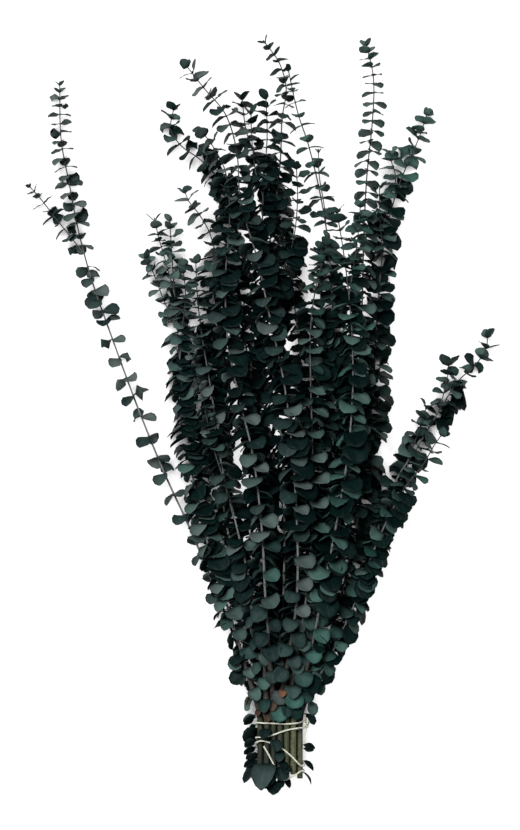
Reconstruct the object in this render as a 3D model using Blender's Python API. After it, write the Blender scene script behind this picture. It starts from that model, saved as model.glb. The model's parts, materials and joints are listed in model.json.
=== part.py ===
# A bunch of preserved eucalyptus, laid down: leafy stems held by a string wound round their butts.
# +Y points to the tips, +X to the right and +Z up. The bunch lies on z = 0.

import math
import random

import bpy
import bmesh
from mathutils import Vector
from mathutils.bvhtree import BVHTree

# Driving dimensions, in millimetres
mm = 0.001                  # metres in a millimetre
buttWidth = 6.0             # a stem across its flats, in the tie
buttPitch = 6.6             # from stem to stem in the tie
tieCentre = 20.0            # x of the tie's middle
tieFoot = -340.0            # y where the stems lie side by side
fanStart = -302.0           # y where the middle stems start to spread
fanStep = 2.5               # how much lower the next stems outwards do
leavesFrom = -291.0         # y where the leaves start
clearance = 0.3             # between pieces that touch
stringWidth = 1.7
knotWidth = 4.0
bladeThickness = 0.7
nodeLength = 0.9            # stem length that a pair of leaves grows from
twigNodeLength = 2.4        # stem length that a side shoot grows from
bigLeaf = 17.5              # leaves from this length up get one more ring
pressedFrom = -130.0        # y below which the leaves are pressed down towards the tie
slimTop = 170.0             # a slim stem's leaves stay on edge this far from its tip
sparseFrom = 240.0          # a sparse stem's leaves are smaller and further apart from here down
longestStretch = 42.0       # of a stem between two rings
largestBow = 0.15           # of a stem's curve off its straight stretches

# What changes along a stem, against the distance from its tip in millimetres
leafLengths = [(0, 5.5), (9, 9.5), (25, 12.0), (60, 13.8), (120, 15.2), (250, 17.0), (400, 18.2), (900, 18.5)]
leafShapes = [(0, 0.85), (30, 0.95), (120, 1.02), (900, 1.06)]
internodes = [(0, 6.5), (12, 8.0), (60, 9.0), (140, 10.5), (260, 12.0), (420, 13.0), (900, 13.5)]
rootPitches = [(0, 60), (10, 36), (30, 8), (80, -6), (200, -8), (900, -8)]
tipPitches = [(0, 50), (10, 20), (30, -12), (80, -28), (200, -34), (400, -36), (900, -38)]
# Stem width as a share of the butt's, against the share of the length above the tie
stemTaper = [(0, 1.0), (0.04, 0.8), (0.12, 0.46), (0.3, 0.35), (0.6, 0.28), (0.85, 0.22), (1.0, 0.16)]

# Where a leaf finds no room, it turns, bends or rolls: degrees of azimuth, pitch and roll
leanings = [(0, 0, 0), (14, 0, 0), (-14, 0, 0), (0, 14, 0), (0, -14, 0), (0, 0, 24), (0, 0, -24),
            (26, 10, 0), (-26, 10, 0), (26, -18, 0), (-26, -18, 0), (0, 34, 0), (0, -32, 0),
            (36, 20, 30), (-36, 20, -30), (0, 58, 0), (22, 58, 20), (-22, 58, -20)]
shrinkings = [1.0, 0.84, 0.7]
facing = (10, 42)           # degrees that the leaves at a stem's sides roll to turn their faces up
facingLow = 22.0            # degrees more of it at the tie
hanging = 24.0              # degrees that a leaf above or below its stem bends back further

# Each stem: its row and place in the tie, the y of its cut end, how far round its leaves start in
# degrees, how much older its tip is than a fresh one, how large and how far apart its leaves are,
# which pairs of every few the solid keeps, and its route above the tie in millimetres.
# A slim stem's leaves stay on edge towards its tip, and slim says how much further apart they are.
# A sparse stem's are further apart, by that much, and smaller on its lower part.
stems = {
    "stem_01": dict(place=(0, 0), cut=-358, turn=38, older=0, scale=1.0, spacing=1.0,
        keep=(0,), of=3, slim=1.0, sparse=1.6, route=[
        (-14, -254, 7.5), (-40, -186, 9), (-70, -114, 9.5), (-94, -62, 9.5), (-121, 4, 9.5),
        (-148, 77, 9), (-168, 134, 8.5), (-181, 182, 8), (-190, 228, 8), (-198.5, 274, 7.5),
        (-200, 330, 7)]),
    "stem_02": dict(place=(1, 0), cut=-363, turn=50, older=70, scale=0.98, spacing=0.8,
        keep=(0,), of=3, route=[
        (-13, -256, 20), (-34, -186, 25), (-54, -121, 21), (-69, -51, 16), (-77, 19, 14),
        (-83, 94, 13), (-88, 159, 12), (-90, 194, 10)]),
    "stem_03": dict(place=(2, 0), cut=-352, turn=32, older=60, scale=1.0, spacing=0.95,
        keep=(0, 3), of=8, route=[
        (3, -241, 32), (-6, -186, 38), (-22, -116, 38), (-38, -51, 34), (-47, 14, 33),
        (-57, 74, 30), (-62, 114, 25), (-64, 152, 20)]),
    "stem_04": dict(place=(2, 1), cut=-360, turn=45, older=80, scale=1.05, spacing=0.92,
        keep=(0, 3), of=8, route=[
        (10, -241, 40), (5, -176, 50), (2, -116, 54), (-7, -41, 56), (-22, 22, 56),
        (-32, 74, 54), (-34, 134, 50), (-30, 199, 45), (-34, 239, 41), (-46, 264, 38),
        (-60, 283, 34)]),
    "stem_05": dict(place=(0, 3), cut=-365, turn=36, older=50, scale=1.05, spacing=0.92,
        keep=(0, 3), of=8, route=[
        (25, -241, 9), (30, -176, 12), (37, -106, 14), (42, -36, 14), (42, 19, 14),
        (38, 79, 14), (30, 134, 14), (16, 209, 14), (0, 249, 15), (-13, 279, 15),
        (-18, 315, 13)]),
    "stem_06": dict(place=(2, 2), cut=-367, turn=-42, older=60, scale=1.05, spacing=0.95,
        keep=(0, 3), of=8, route=[
        (28, -241, 42), (36, -186, 53), (37, -126, 60), (32, -36, 66), (23, 34, 66),
        (10, 94, 64), (-3, 154, 60), (-19, 209, 55), (-23, 259, 50), (-34, 296, 45),
        (-55, 322, 41), (-73, 345, 37)]),
    "stem_07": dict(place=(1, 1), cut=-354, turn=48, older=5, scale=1.0, spacing=1.0,
        keep=(0, 3), of=8, route=[
        (8, -236, 25), (6, -176, 30), (2, -116, 32), (-4, -36, 31), (-9, 39, 30),
        (-5, 84, 30), (2, 134, 30), (12, 184, 29), (20, 249, 26), (22, 294, 23),
        (26, 324, 20), (19, 350, 17), (4, 371, 15)]),
    "stem_08": dict(place=(0, 4), cut=-357, turn=-35, older=0, scale=0.95, spacing=1.0, slim=1.4,
        keep=(0, 3), of=8, route=[
        (42, -241, 9), (53, -186, 12), (65, -116, 11), (75, -46, 10), (77, 14, 10),
        (74, 84, 12), (68, 169, 14), (60, 219, 15), (48, 269, 15), (38, 299, 14),
        (28, 344, 12)]),
    "stem_09": dict(place=(2, 3), cut=-355, turn=40, older=60, scale=1.05, spacing=0.92,
        keep=(0, 3), of=8, route=[
        (36, -246, 33), (45, -186, 43), (51, -116, 47), (52, -46, 49), (50, 34, 48),
        (50, 84, 46), (55, 124, 43), (64, 158, 39), (68, 176, 37)]),
    "stem_10": dict(place=(1, 4), cut=-362, turn=30, older=10, scale=1.0, spacing=1.0,
        keep=(0,), of=3, slim=1.0, route=[
        (43, -246, 22), (56, -186, 30), (75, -126, 34), (87, -61, 35), (96, 14, 35),
        (101, 104, 34), (103, 174, 30), (106, 234, 25), (112, 294, 20), (113, 334, 17),
        (106, 369, 14)]),
    "stem_11": dict(place=(1, 5), cut=-359, turn=-45, older=80, scale=1.05, spacing=0.92,
        keep=(0,), of=3, route=[
        (60, -246, 18), (78, -191, 20), (94, -121, 17), (105, -56, 14), (112, 14, 12),
        (116, 84, 11), (124, 174, 10), (134, 214, 9.5), (144, 242, 9), (158, 274, 8.5),
        (167, 300, 8)]),
    "stem_12": dict(place=(2, 4), cut=-358, turn=52, older=90, scale=1.05, spacing=0.92,
        keep=(0, 3), of=8, route=[
        (49, -241, 37), (60, -186, 49), (72, -126, 56), (85, -51, 60), (91, 14, 60),
        (91, 74, 57), (87, 124, 51), (82, 164, 45), (76, 201, 40)]),
    "stem_13": dict(place=(0, 5), cut=-360, turn=34, older=140, scale=1.0, spacing=1.0,
        keep=(0,), of=3, sparse=1.2, tipAge=70, route=[
        (58, -258, 7.5), (78, -216, 8.5), (95, -176, 9), (117, -116, 9.5), (136, -66, 9.5),
        (155, -36, 9.5), (177, 0, 9), (197, 32, 8.5), (215, 49, 8), (226, 66, 7.5),
        (227, 78, 7)]),
    "stem_14": dict(place=(1, 6), cut=-363, turn=-38, older=60, scale=1.0, spacing=0.95,
        keep=(0,), of=3, route=[
        (70, -241, 24), (93, -191, 27), (109, -146, 27), (126, -106, 28), (144, -73, 29),
        (162, -50, 29), (173, -31, 28), (181, -20, 27)]),
    "stem_15": dict(place=(0, 2), cut=-361, turn=42, older=160, scale=1.05, spacing=0.92,
        keep=(0, 4), of=9, route=[
        (14, -241, 9), (8, -186, 11), (4, -106, 11), (0, -36, 10.5), (-10, 34, 10),
        (-17, 94, 10), (-24, 154, 10), (-30, 199, 10), (-42, 234, 10), (-60, 254, 10),
        (-78, 267, 10), (-89, 284, 10.5), (-86, 305, 11)]),
    "stem_16": dict(place=(1, 2), cut=-366, turn=-50, older=60, scale=1.05, spacing=0.92,
        keep=(0, 4), of=9, route=[
        (18, -241, 23), (23, -186, 31), (24, -106, 35), (22, -36, 38), (16, 14, 41),
        (8, 84, 44), (3, 154, 44), (3, 214, 41), (7, 274, 36), (6, 314, 31)]),
    "stem_17": dict(place=(0, 1), cut=-356, turn=-45, older=90, scale=1.05, spacing=0.95,
        keep=(0, 4), of=9, route=[
        (-2, -241, 8.5), (-17, -186, 10.5), (-34, -106, 11), (-44, -36, 11), (-47, 24, 11),
        (-48, 84, 11), (-47, 112, 12), (-45, 140, 13), (-45, 160, 14), (-50, 180, 15),
        (-60, 198, 16), (-71, 212, 17), (-75, 222, 17)]),
    "stem_18": dict(place=(1, 3), cut=-353, turn=44, older=60, scale=1.05, spacing=0.92,
        keep=(0, 4), of=9, route=[
        (31, -241, 22), (39, -186, 28), (51, -106, 27), (60, -36, 25), (62, 24, 26),
        (61, 84, 27), (60, 134, 27), (62, 166, 26)]),
}

# Side shoots: their stem, the y where they leave it, and their route in millimetres
sideShoots = [
    ("stem_01", 160, [(-190, 178, 8.5), (-206, 198, 8), (-220, 216, 7), (-231, 228, 6.5)]),
    ("stem_02", 118, [(-94, 152, 16), (-101, 176, 16), (-105, 194, 15)]),
    ("stem_02", 84, [(-97, 116, 10), (-106, 140, 9), (-114, 157, 8)]),
    ("stem_11", 214, [(135, 238, 13), (131, 251, 16), (129, 261, 18)]),
    ("stem_13", 2, [(184, 24, 13), (187, 38, 15), (188, 50, 16)]),
    ("stem_13", -48, [(158, -18, 13), (162, -4, 15), (166, 7, 16)]),
    ("stem_08", 178, [(64, 206, 21), (59, 236, 23), (58, 262, 23)]),
    ("stem_02", 56, [(-77, 88, 20), (-74, 118, 22), (-77, 148, 22)]),
    ("stem_03", -104, [(-34, -72, 40), (-47, -30, 40), (-56, 12, 38), (-66, 56, 33)]),
    ("stem_11", -112, [(95, -84, 24), (98, -50, 24), (101, -10, 23), (104, 30, 22)]),
    ("stem_16", 215, [(-4, 238, 46), (-8, 270, 47), (-9, 298, 46)]),
    ("stem_16", 104, [(19, 134, 48), (32, 168, 49), (37, 208, 49), (36, 244, 47)]),
    ("stem_12", 118, [(93, 150, 57), (97, 180, 56), (99, 206, 54)]),
    ("stem_11", 150, [(121, 174, 17), (119, 200, 20), (119, 226, 21)]),
]

# Leaves left on the butts: stem, y, side of the stem, azimuth, pitch, roll and length
buttLeaves = [
    ("stem_02", -301, 3, 0, -24, 48, 15),
    ("stem_02", -341, 3, 0, -30, 46, 12),
    ("stem_02", -354, 3, 0, -62, 40, 20),
    ("stem_03", -349, 0, -20, -72, 0, 31),
    ("stem_14", -335, 1, 0, -10, -46, 11),
    ("stem_14", -359, 1, 0, -74, -10, 15),
]

# The string's route round the tie: quarter turns from the right over the top, y in millimetres,
# and how far it lies off the stems, in its own widths
stringRoute = [
    (0.16, -329, 0), (0.16, -320, 0.1), (0.14, -314.5, 1.2), (0.10, -309, 1.5), (0.20, -305.6, 1.2),
    (0.45, -307, 0.3), (0.8, -308.2, 0), (1.4, -307.6, 0), (2.0, -307.5, 0), (3.0, -310, 0),
    (3.8, -313, 0), (4.2, -312.8, 0), (4.5, -312.6, 0), (4.9, -314.8, 0), (5.25, -318.6, 0),
    (5.5, -320.8, 0), (5.8, -321.8, 0), (6.0, -322.5, 0), (6.4, -325.5, 0), (7.0, -334, 0),
    (7.6, -343, 0), (8.0, -349, 0), (8.3, -350.5, 0), (8.5, -347, 0), (8.69, -341, 0),
    (9.065, -331.5, 0), (9.36, -327.4, 0), (9.62, -325.2, 0), (9.8, -325.8, 0), (10.0, -328, 0),
    (10.4, -332.5, 0), (11.0, -342, 0), (11.6, -351, 0), (12.0, -355.5, 0), (12.33, -355.5, 0),
    (12.66, -360, 0), (12.84, -363, 0), (13.0, -364, 0), (13.1, -361, 0), (13.18, -355, 0),
    (13.29, -348, 0), (13.45, -338.5, 0), (13.6, -330.5, 0)]
knotAt = 3                  # the row of the route where the knot is


def along(table, place):
    """Reads a table of (place, value) rows, straight between its rows."""
    if place <= table[0][0]:
        return table[0][1]
    for (start, low), (end, high) in zip(table, table[1:]):
        if place <= end:
            return low + (high - low) * (place - start) / (end - start)
    return table[-1][1]


def smoothRoute(points, straight=0, step=2.0):
    """Samples a smooth curve through the points, the first few of them in a line along +Y."""
    points = [Vector(point) for point in points]
    knots = [0.0]
    for before, after in zip(points, points[1:]):
        knots.append(knots[-1] + (after - before).length)
    slopes = []
    last = len(points) - 1
    for index in range(last + 1):
        low = max(index - 1, 0)
        high = min(index + 1, last)
        slopes.append((points[high] - points[low]) / (knots[high] - knots[low]))
    for index in range(straight):
        slopes[index] = Vector((0, 1, 0))
    samples = []
    for index in range(last):
        span = knots[index + 1] - knots[index]
        count = max(1, round(span / step))
        for part in range(count):
            t = part / count
            samples.append((2 * t ** 3 - 3 * t ** 2 + 1) * points[index]
                           + (t ** 3 - 2 * t ** 2 + t) * span * slopes[index]
                           + (3 * t ** 2 - 2 * t ** 3) * points[index + 1]
                           + (t ** 3 - t ** 2) * span * slopes[index + 1])
    samples.append(points[-1])
    return samples


class Shoot:
    """A stem or a side shoot: its route, its width and the way its flat sides face."""

    def __init__(self, name, number, samples, settings, parent=None):
        self.name = name
        self.number = number
        self.samples = samples
        self.settings = settings
        self.parent = parent
        self.lengths = [0.0]
        for before, after in zip(samples, samples[1:]):
            self.lengths.append(self.lengths[-1] + (after - before).length)
        self.total = self.lengths[-1]
        self.leafyFrom = 5.0 if parent else self.lengthAtY(leavesFrom)
        self.startTurn = 0.0
        self.nodes = []     # (length, height, what grows there on each side)
        self.twigs = []

    def lengthAtY(self, y):
        for sample, length in zip(self.samples, self.lengths):
            if sample.y >= y:
                return length
        return self.total

    def at(self, length):
        """The point and the direction at a length along the shoot."""
        length = min(max(length, 0.0), self.total)
        low = 0
        high = len(self.lengths) - 1
        while high - low > 1:
            middle = (low + high) // 2
            if self.lengths[middle] <= length:
                low = middle
            else:
                high = middle
        share = (length - self.lengths[low]) / (self.lengths[high] - self.lengths[low])
        before = self.samples[max(low - 1, 0)]
        after = self.samples[min(high + 1, len(self.samples) - 1)]
        return self.samples[low].lerp(self.samples[high], share), (after - before).normalized()

    def halfWidth(self, length):
        if self.parent:
            share = length / self.total
            return 0.5 * (self.settings["rootWidth"] * (1 - share) + 1.0 * share)
        share = (length - self.leafyFrom) / (self.total - self.leafyFrom)
        return 0.5 * buttWidth * along(stemTaper, share)

    def sides(self, length):
        """The point, the direction and the outward directions of the four flat sides."""
        centre, direction = self.at(length)
        upward = Vector((0, 0, 1))
        first = (upward - direction * upward.dot(direction)).normalized()
        second = direction.cross(first)
        loose = max(0.0, length - self.leafyFrom - 18.0)
        turned = self.settings["turn"] * min(1.0, loose / 60.0) + 0.03 * loose
        turned = math.radians(self.startTurn + turned)
        u = first * math.cos(turned) + second * math.sin(turned)
        v = second * math.cos(turned) - first * math.sin(turned)
        return centre, direction, [u, v, -u, -v]

    def settle(self, side, length):
        """Turns a side shoot to sit square on its stem, and finds where it comes clear of it."""
        stem = self.parent
        outward = stem.sides(length)[2][side]
        low = stem.ring(length - twigNodeLength / 2)
        high = stem.ring(length + twigNodeLength / 2)
        root = [low[side - 1], low[side], high[side], high[side - 1]]
        self.begin = 2.0
        start = self.at(0.0)[0]
        while min((point - start).dot(outward) for point in self.ring(self.begin)) < 0.5:
            self.begin += 0.5
        nearest = None
        for turn in range(0, 360, 5):
            self.startTurn = turn
            away = sum((a - b).length for a, b in zip(root, self.ring(self.begin)))
            if nearest is None or away < nearest:
                nearest = away
                best = turn
        self.startTurn = best

    def ring(self, length, extra=0.0):
        """The four corners of the shoot's square section."""
        centre, direction, (u, v, _, _) = self.sides(length)
        half = self.halfWidth(length) + extra
        return [centre + (u + v) * half, centre + (v - u) * half,
                centre - (u + v) * half, centre + (u - v) * half]


class Leaf:
    """A blade that grows from one flat side of a shoot, as rings of four corners."""

    def __init__(self, shoot, length, side, pitches, azimuth, roll, size, shape, stalk=False):
        self.shoot = shoot
        self.length = length
        self.side = side
        self.pitches = pitches
        self.azimuth = azimuth
        self.roll = roll
        self.size = size
        self.shape = shape
        if stalk:
            self.places = [(0.14, 0.26), (0.42, 0.92), (0.76, 0.78)]
        elif size >= bigLeaf:
            self.places = [(0.34, 0.90), (0.74, 0.80)]
        else:
            self.places = [(0.52, 0.92)]
        self.rings = self.makeRings(0.0)
        root = self.rings[0]
        end = self.rings[-1]
        self.middle = (root[0] + root[2] + end[0] + end[1]) / 4
        self.radius = size * 0.8 + 1.0

    def makeRings(self, extra):
        """The corners from the root to the tip, with the blade made larger all round by extra."""
        centre, direction, sides = self.shoot.sides(self.length)
        outward = sides[self.side]
        across = direction.cross(outward)
        half = self.shoot.halfWidth(self.length)
        root = centre + outward * half
        turn = math.radians(self.azimuth)
        aimed = outward * math.cos(turn) + across * math.sin(turn)
        wide = direction.cross(aimed)
        thick = bladeThickness / 2 + extra
        halfWide = self.size * self.shape / 2
        up = direction * (nodeLength / 2)
        rings = [[root - across * half - up, root + across * half - up,
                  root + across * half + up, root - across * half + up]]
        point = root.copy()
        reach = 0.0
        lastWide = across
        for place, share in self.places + [(1.0, 0.0)]:
            steps = 4
            for part in range(steps):
                here = reach + (place - reach) * (part + 0.5) / steps
                heading = self.heading(aimed, direction, here)
                point = point + heading * (self.size * (place - reach) / steps)
            reach = place
            heading = self.heading(aimed, direction, place)
            rolled = math.radians(self.roll) * min(1.0, place / 0.34)
            w = wide * math.cos(rolled) + heading.cross(wide) * math.sin(rolled)
            n = heading.cross(w)
            middle = point
            droop = abs(w.z) * halfWide * share + abs(n.z) * bladeThickness / 2
            if point.z - droop < 0:
                # A leaf that would reach through the floor lies down on it
                flat = Vector((heading.x + outward.x * 0.2, heading.y + outward.y * 0.2, 0)).normalized()
                w = Vector((flat.y, -flat.x, 0))
                if w.dot(lastWide) < 0:
                    w = -w
                n = heading.cross(w)
                n = Vector((0, 0, 1.0 if n.z > 0 else -1.0))
                middle = Vector((point.x, point.y, bladeThickness / 2))
            lastWide = w
            if share:
                reachWide = w * (halfWide * share + extra)
                rings.append([middle - reachWide - n * thick, middle + reachWide - n * thick,
                              middle + reachWide + n * thick, middle - reachWide + n * thick])
            else:
                end = middle + heading * extra
                rings.append([end - n * thick, end + n * thick])
        return rings

    def heading(self, aimed, direction, place):
        pitch = math.radians(self.pitches[0] + (self.pitches[1] - self.pitches[0]) * place)
        return aimed * math.cos(pitch) + direction * math.sin(pitch)

    def faces(self, corners):
        """The triangles between rings of corners, split alike on both faces."""
        triangles = []
        for low, high in zip(corners[:-2], corners[1:-1]):
            triangles += [(low[0], low[1], high[1]), (low[0], high[1], high[0]),
                          (low[1], low[2], high[2]), (low[1], high[2], high[1]),
                          (low[2], low[3], high[2]), (low[3], high[3], high[2]),
                          (low[3], low[0], high[0]), (low[3], high[0], high[3])]
        low = corners[-2]
        under, over = corners[-1]
        triangles += [(low[0], low[1], under), (low[1], low[2], over), (low[1], over, under),
                      (low[2], low[3], over), (low[3], low[0], under), (low[3], under, over)]
        return triangles

    def steady(self):
        """Whether the blade keeps its thickness all along and has no twist in it."""
        thin = 0.42
        layers = []
        for low, high in zip(self.rings[:-2], self.rings[1:-1]):
            layers.append(([low[0], low[1], high[1]], [low[3], low[2], high[2]]))
            layers.append(([low[0], high[1], high[0]], [low[3], high[2], high[3]]))
        low, (under, over) = self.rings[-2:]
        layers.append(([low[0], low[1], under], [low[3], low[2], over]))
        for lower, upper in layers:
            normal = (lower[2] - lower[0]).cross(lower[1] - lower[0]).normalized()
            if min(normal.dot(a - b) for a, b in zip(upper, lower)) < thin:
                return False
            normal = (upper[2] - upper[0]).cross(upper[1] - upper[0]).normalized()
            if min(normal.dot(a - b) for a, b in zip(upper, lower)) < thin:
                return False
        return min(point.z for ring in self.rings[1:] for point in ring) > -0.001

    def tree(self, extra=0.0, outer=False):
        """A search tree of the blade, from its root or from a little way out."""
        rings = self.makeRings(extra) if extra else list(self.rings)
        if outer:
            rings[0] = [low.lerp(high, 0.3) for low, high in zip(rings[0], rings[1])]
        points = [point for ring in rings for point in ring]
        corners = []
        start = 0
        for ring in rings:
            corners.append(list(range(start, start + len(ring))))
            start += len(ring)
        return BVHTree.FromPolygons(points, self.faces(corners))


def tieSlot(row, place):
    """Where a stem lies in the tie, in rows of six, seven and five, and how far out it is."""
    count = (6, 7, 5)[row]
    out = place - (count - 1) / 2
    return tieCentre + out * buttPitch, stringWidth + clearance + buttWidth / 2 + row * buttPitch, out


def makeShoots():
    shoots = []
    for number, (name, settings) in enumerate(stems.items()):
        x, z, out = tieSlot(*settings["place"])
        spread = fanStart - fanStep * abs(out)
        points = [(x, settings["cut"], z), (x, tieFoot, z), (x, spread, z)] + settings["route"]
        shoots.append(Shoot(name, number, smoothRoute(points, straight=3), settings))
    byName = {shoot.name: shoot for shoot in shoots}
    for number, (name, y, route) in enumerate(sideShoots):
        stem = byName[name]
        length = stem.lengthAtY(y)
        centre, direction, sides = stem.sides(length)
        away = Vector(route[0]) - centre
        side = max(range(4), key=lambda index: sides[index].dot(away))
        root = centre + sides[side] * stem.halfWidth(length)
        settings = dict(stem.settings, turn=35 * number % 90, keep=(0,), of=3, side=side, length=length,
                        older=0.4 * stem.settings["older"], rootWidth=1.5 * stem.halfWidth(length))
        twig = Shoot(name, 40 + number, smoothRoute([root] + route), settings, parent=stem)
        twig.settle(side, length)
        stem.twigs.append(twig)
        shoots.append(twig)
    return shoots


def leafPlaces(shoot):
    """The pairs of leaves from the tip down: how far along the shoot, and how far from its tip."""
    rng = random.Random(300 + shoot.number)
    fromTip = 2.2
    pairs = []
    while shoot.total - fromTip > shoot.leafyFrom:
        pairs.append((shoot.total - fromTip, fromTip))
        spacing = shoot.settings["spacing"]
        if fromTip < slimTop and shoot.settings.get("slim"):
            spacing *= shoot.settings["slim"]
        elif fromTip > sparseFrom:
            spacing *= shoot.settings.get("sparse", 1)
        fromTip += along(internodes, fromTip + shoot.settings["older"]) * spacing * rng.uniform(0.86, 1.14)
    return pairs


class Room:
    """What already stands, so that a new leaf can be kept clear of it."""

    def __init__(self, shoots, string):
        self.string = string
        self.owners = []
        self.cells = {}
        self.cellSize = 22.0
        points = []
        faces = []
        for shoot in shoots:
            start = len(points)
            count = max(2, round(shoot.total / 6.0))
            for index in range(count + 1):
                points += shoot.ring(shoot.total * index / count, extra=0.1)
            for index in range(count):
                low = start + index * 4
                for corner in range(4):
                    after = (corner + 1) % 4
                    faces.append((low + corner, low + after, low + 4 + after, low + 4 + corner))
                    self.owners.append(shoot)
        self.tubes = BVHTree.FromPolygons(points, faces)

    def cell(self, point):
        return tuple(int(math.floor(value / self.cellSize)) for value in point)

    def neighbours(self, leaf):
        x, y, z = self.cell(leaf.middle)
        for i in (-1, 0, 1):
            for j in (-1, 0, 1):
                for k in (-1, 0, 1):
                    for middle, radius, tree in self.cells.get((x + i, y + j, z + k), ()):
                        if (middle - leaf.middle).length < radius + leaf.radius:
                            yield tree

    def free(self, leaf):
        tree = leaf.tree(extra=clearance)
        if any(self.owners[face] is not leaf.shoot for _, face in tree.overlap(self.tubes)):
            return False
        if leaf.tree(extra=clearance, outer=True).overlap(self.tubes):
            return False
        if tree.overlap(self.string):
            return False
        return not any(tree.overlap(other) for other in self.neighbours(leaf))

    def add(self, leaf):
        entry = (leaf.middle, leaf.radius, leaf.tree())
        self.cells.setdefault(self.cell(leaf.middle), []).append(entry)


def growLeaf(room, shoot, index, length, fromTip, side):
    """Finds room for one leaf, as near to its natural attitude as its neighbours allow."""
    rng = random.Random(shoot.number * 10000 + index * 10 + side)
    age = min(shoot.settings.get("tipAge", 8) + 5 * fromTip, fromTip + shoot.settings["older"])
    size = along(leafLengths, age) * shoot.settings["scale"] * rng.uniform(0.84, 1.14)
    shape = along(leafShapes, age) * rng.uniform(0.94, 1.06)
    # Near the tie the leaves are pressed down along the stems
    low = min(max((pressedFrom - shoot.at(length)[0].y) / 140, 0), 1)
    size *= 1 - 0.2 * low
    if fromTip > sparseFrom:
        size /= shoot.settings.get("sparse", 1) ** 0.25
    slim = fromTip < slimTop and shoot.settings.get("slim")
    wild = 0.45 if slim else 1.0
    rootPitch = along(rootPitches, fromTip) - 26 * low + rng.uniform(-6, 6)
    sides = shoot.sides(length)[2]
    hang = hanging * min(fromTip / 120, 1) * abs(sides[side].z)
    tipPitch = along(tipPitches, fromTip) - hang - 24 * low + rng.uniform(-24, 24) * wild
    ownTurn = rng.uniform(-28, 28) * wild
    ownRoll = rng.uniform(-32, 32) * wild
    # A leaf at the side turns its face up
    if not slim:
        ownRoll += (rng.uniform(*facing) + facingLow * low) * sides[side - 1].z
    for shrink in shrinkings:
        for azimuth, pitch, roll in leanings:
            pitches = (rootPitch + pitch * 0.6, tipPitch + pitch)
            leaf = Leaf(shoot, length, side, pitches, ownTurn + azimuth, ownRoll + roll,
                        size * shrink, shape)
            if leaf.steady() and room.free(leaf):
                room.add(leaf)
                return leaf
    return None


def growButtLeaves(room, byName):
    for name, y, side, azimuth, pitch, roll, size in buttLeaves:
        shoot = byName[name]
        length = shoot.lengthAtY(y)
        leaf = Leaf(shoot, length, side, (pitch * 0.5, pitch), azimuth, roll, size, 0.8, stalk=True)
        if leaf.steady() and room.free(leaf):
            room.add(leaf)
            shoot.nodes.append((length, nodeLength, {side: leaf}))
        else:
            print("no room for the butt leaf of", name, y, leaf.steady())


def growLeaves(room, shoots):
    """Gives every shoot the pairs that the solid keeps, even along it and on all of its sides."""
    missing = 0
    for shoot in shoots:
        joints = [twig.settings["length"] for twig in shoot.twigs]
        for index, (length, fromTip) in enumerate(leafPlaces(shoot)):
            if index % shoot.settings["of"] not in shoot.settings["keep"]:
                continue
            if any(abs(length - joint) < 4.5 for joint in joints):
                continue
            leaves = {}
            for side in (index % 2, index % 2 + 2):
                leaf = growLeaf(room, shoot, index, length, fromTip, side)
                if leaf:
                    leaves[side] = leaf
                else:
                    missing += 1
            if leaves:
                shoot.nodes.append((length, nodeLength, leaves))
    print("leaves with no room:", missing)


def loft(mesh, low, high):
    """Joins two rings of corners with triangles."""
    for corner in range(len(low)):
        after = (corner + 1) % len(low)
        mesh.faces.new((low[corner], low[after], high[after]))
        mesh.faces.new((low[corner], high[after], high[corner]))


def buildLeaf(mesh, leaf, root):
    corners = [root]
    for ring in leaf.rings[1:]:
        corners.append([mesh.verts.new(point * mm) for point in ring])
    for triangle in leaf.faces(corners):
        mesh.faces.new(triangle)


def plainPlaces(shoot, stops):
    """Where a shoot needs a plain ring, because it bends or has nothing growing for long."""
    places = []
    stretches = list(zip([0.0] + stops, stops + [shoot.total]))
    while stretches:
        low, high = stretches.pop()
        if high - low < 8:
            continue
        start = shoot.at(low)[0]
        end = shoot.at(high)[0]
        bow = max((shoot.at(low + (high - low) * share)[0] - start.lerp(end, share)).length
                  for share in (0.25, 0.5, 0.75))
        if bow > largestBow or high - low > longestStretch:
            middle = (low + high) / 2
            places.append(middle)
            stretches += [(low, middle), (middle, high)]
    return places


def buildShoot(mesh, shoot, root=None):
    """Builds a shoot ring by ring, with its leaves and side shoots growing from its sides."""
    levels = list(shoot.nodes)
    for twig in shoot.twigs:
        levels.append((twig.settings["length"], twigNodeLength, {twig.settings["side"]: twig}))
    stops = sorted(level[0] for level in levels)
    levels += [(place, 0.0, {}) for place in plainPlaces(shoot, stops)]
    levels.sort(key=lambda level: level[0])
    if root:
        ring = [mesh.verts.new(point * mm) for point in shoot.ring(shoot.begin)]
        loft(mesh, root, ring)
        levels = [level for level in levels if level[0] > shoot.begin + 1.5]
    else:
        ring = [mesh.verts.new(point * mm) for point in shoot.ring(0.0)]
        mesh.faces.new((ring[3], ring[2], ring[1]))
        mesh.faces.new((ring[3], ring[1], ring[0]))
    for length, height, grown in levels:
        low = [mesh.verts.new(point * mm) for point in shoot.ring(length - height / 2)]
        loft(mesh, ring, low)
        ring = low
        if not height:
            continue
        high = [mesh.verts.new(point * mm) for point in shoot.ring(length + height / 2)]
        for side in range(4):
            before = (side - 1) % 4
            corners = [low[before], low[side], high[side], high[before]]
            if side not in grown:
                mesh.faces.new(corners[:3])
                mesh.faces.new((corners[0], corners[2], corners[3]))
            elif isinstance(grown[side], Leaf):
                buildLeaf(mesh, grown[side], corners)
            else:
                buildShoot(mesh, grown[side], corners)
        ring = high
    # The tip bud
    last = [mesh.verts.new(point * mm) for point in shoot.ring(shoot.total)]
    loft(mesh, ring, last)
    centre, direction = shoot.at(shoot.total)
    bud = mesh.verts.new((centre + direction * 2.0) * mm)
    for corner in range(4):
        mesh.faces.new((last[corner], last[(corner + 1) % 4], bud))


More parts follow.
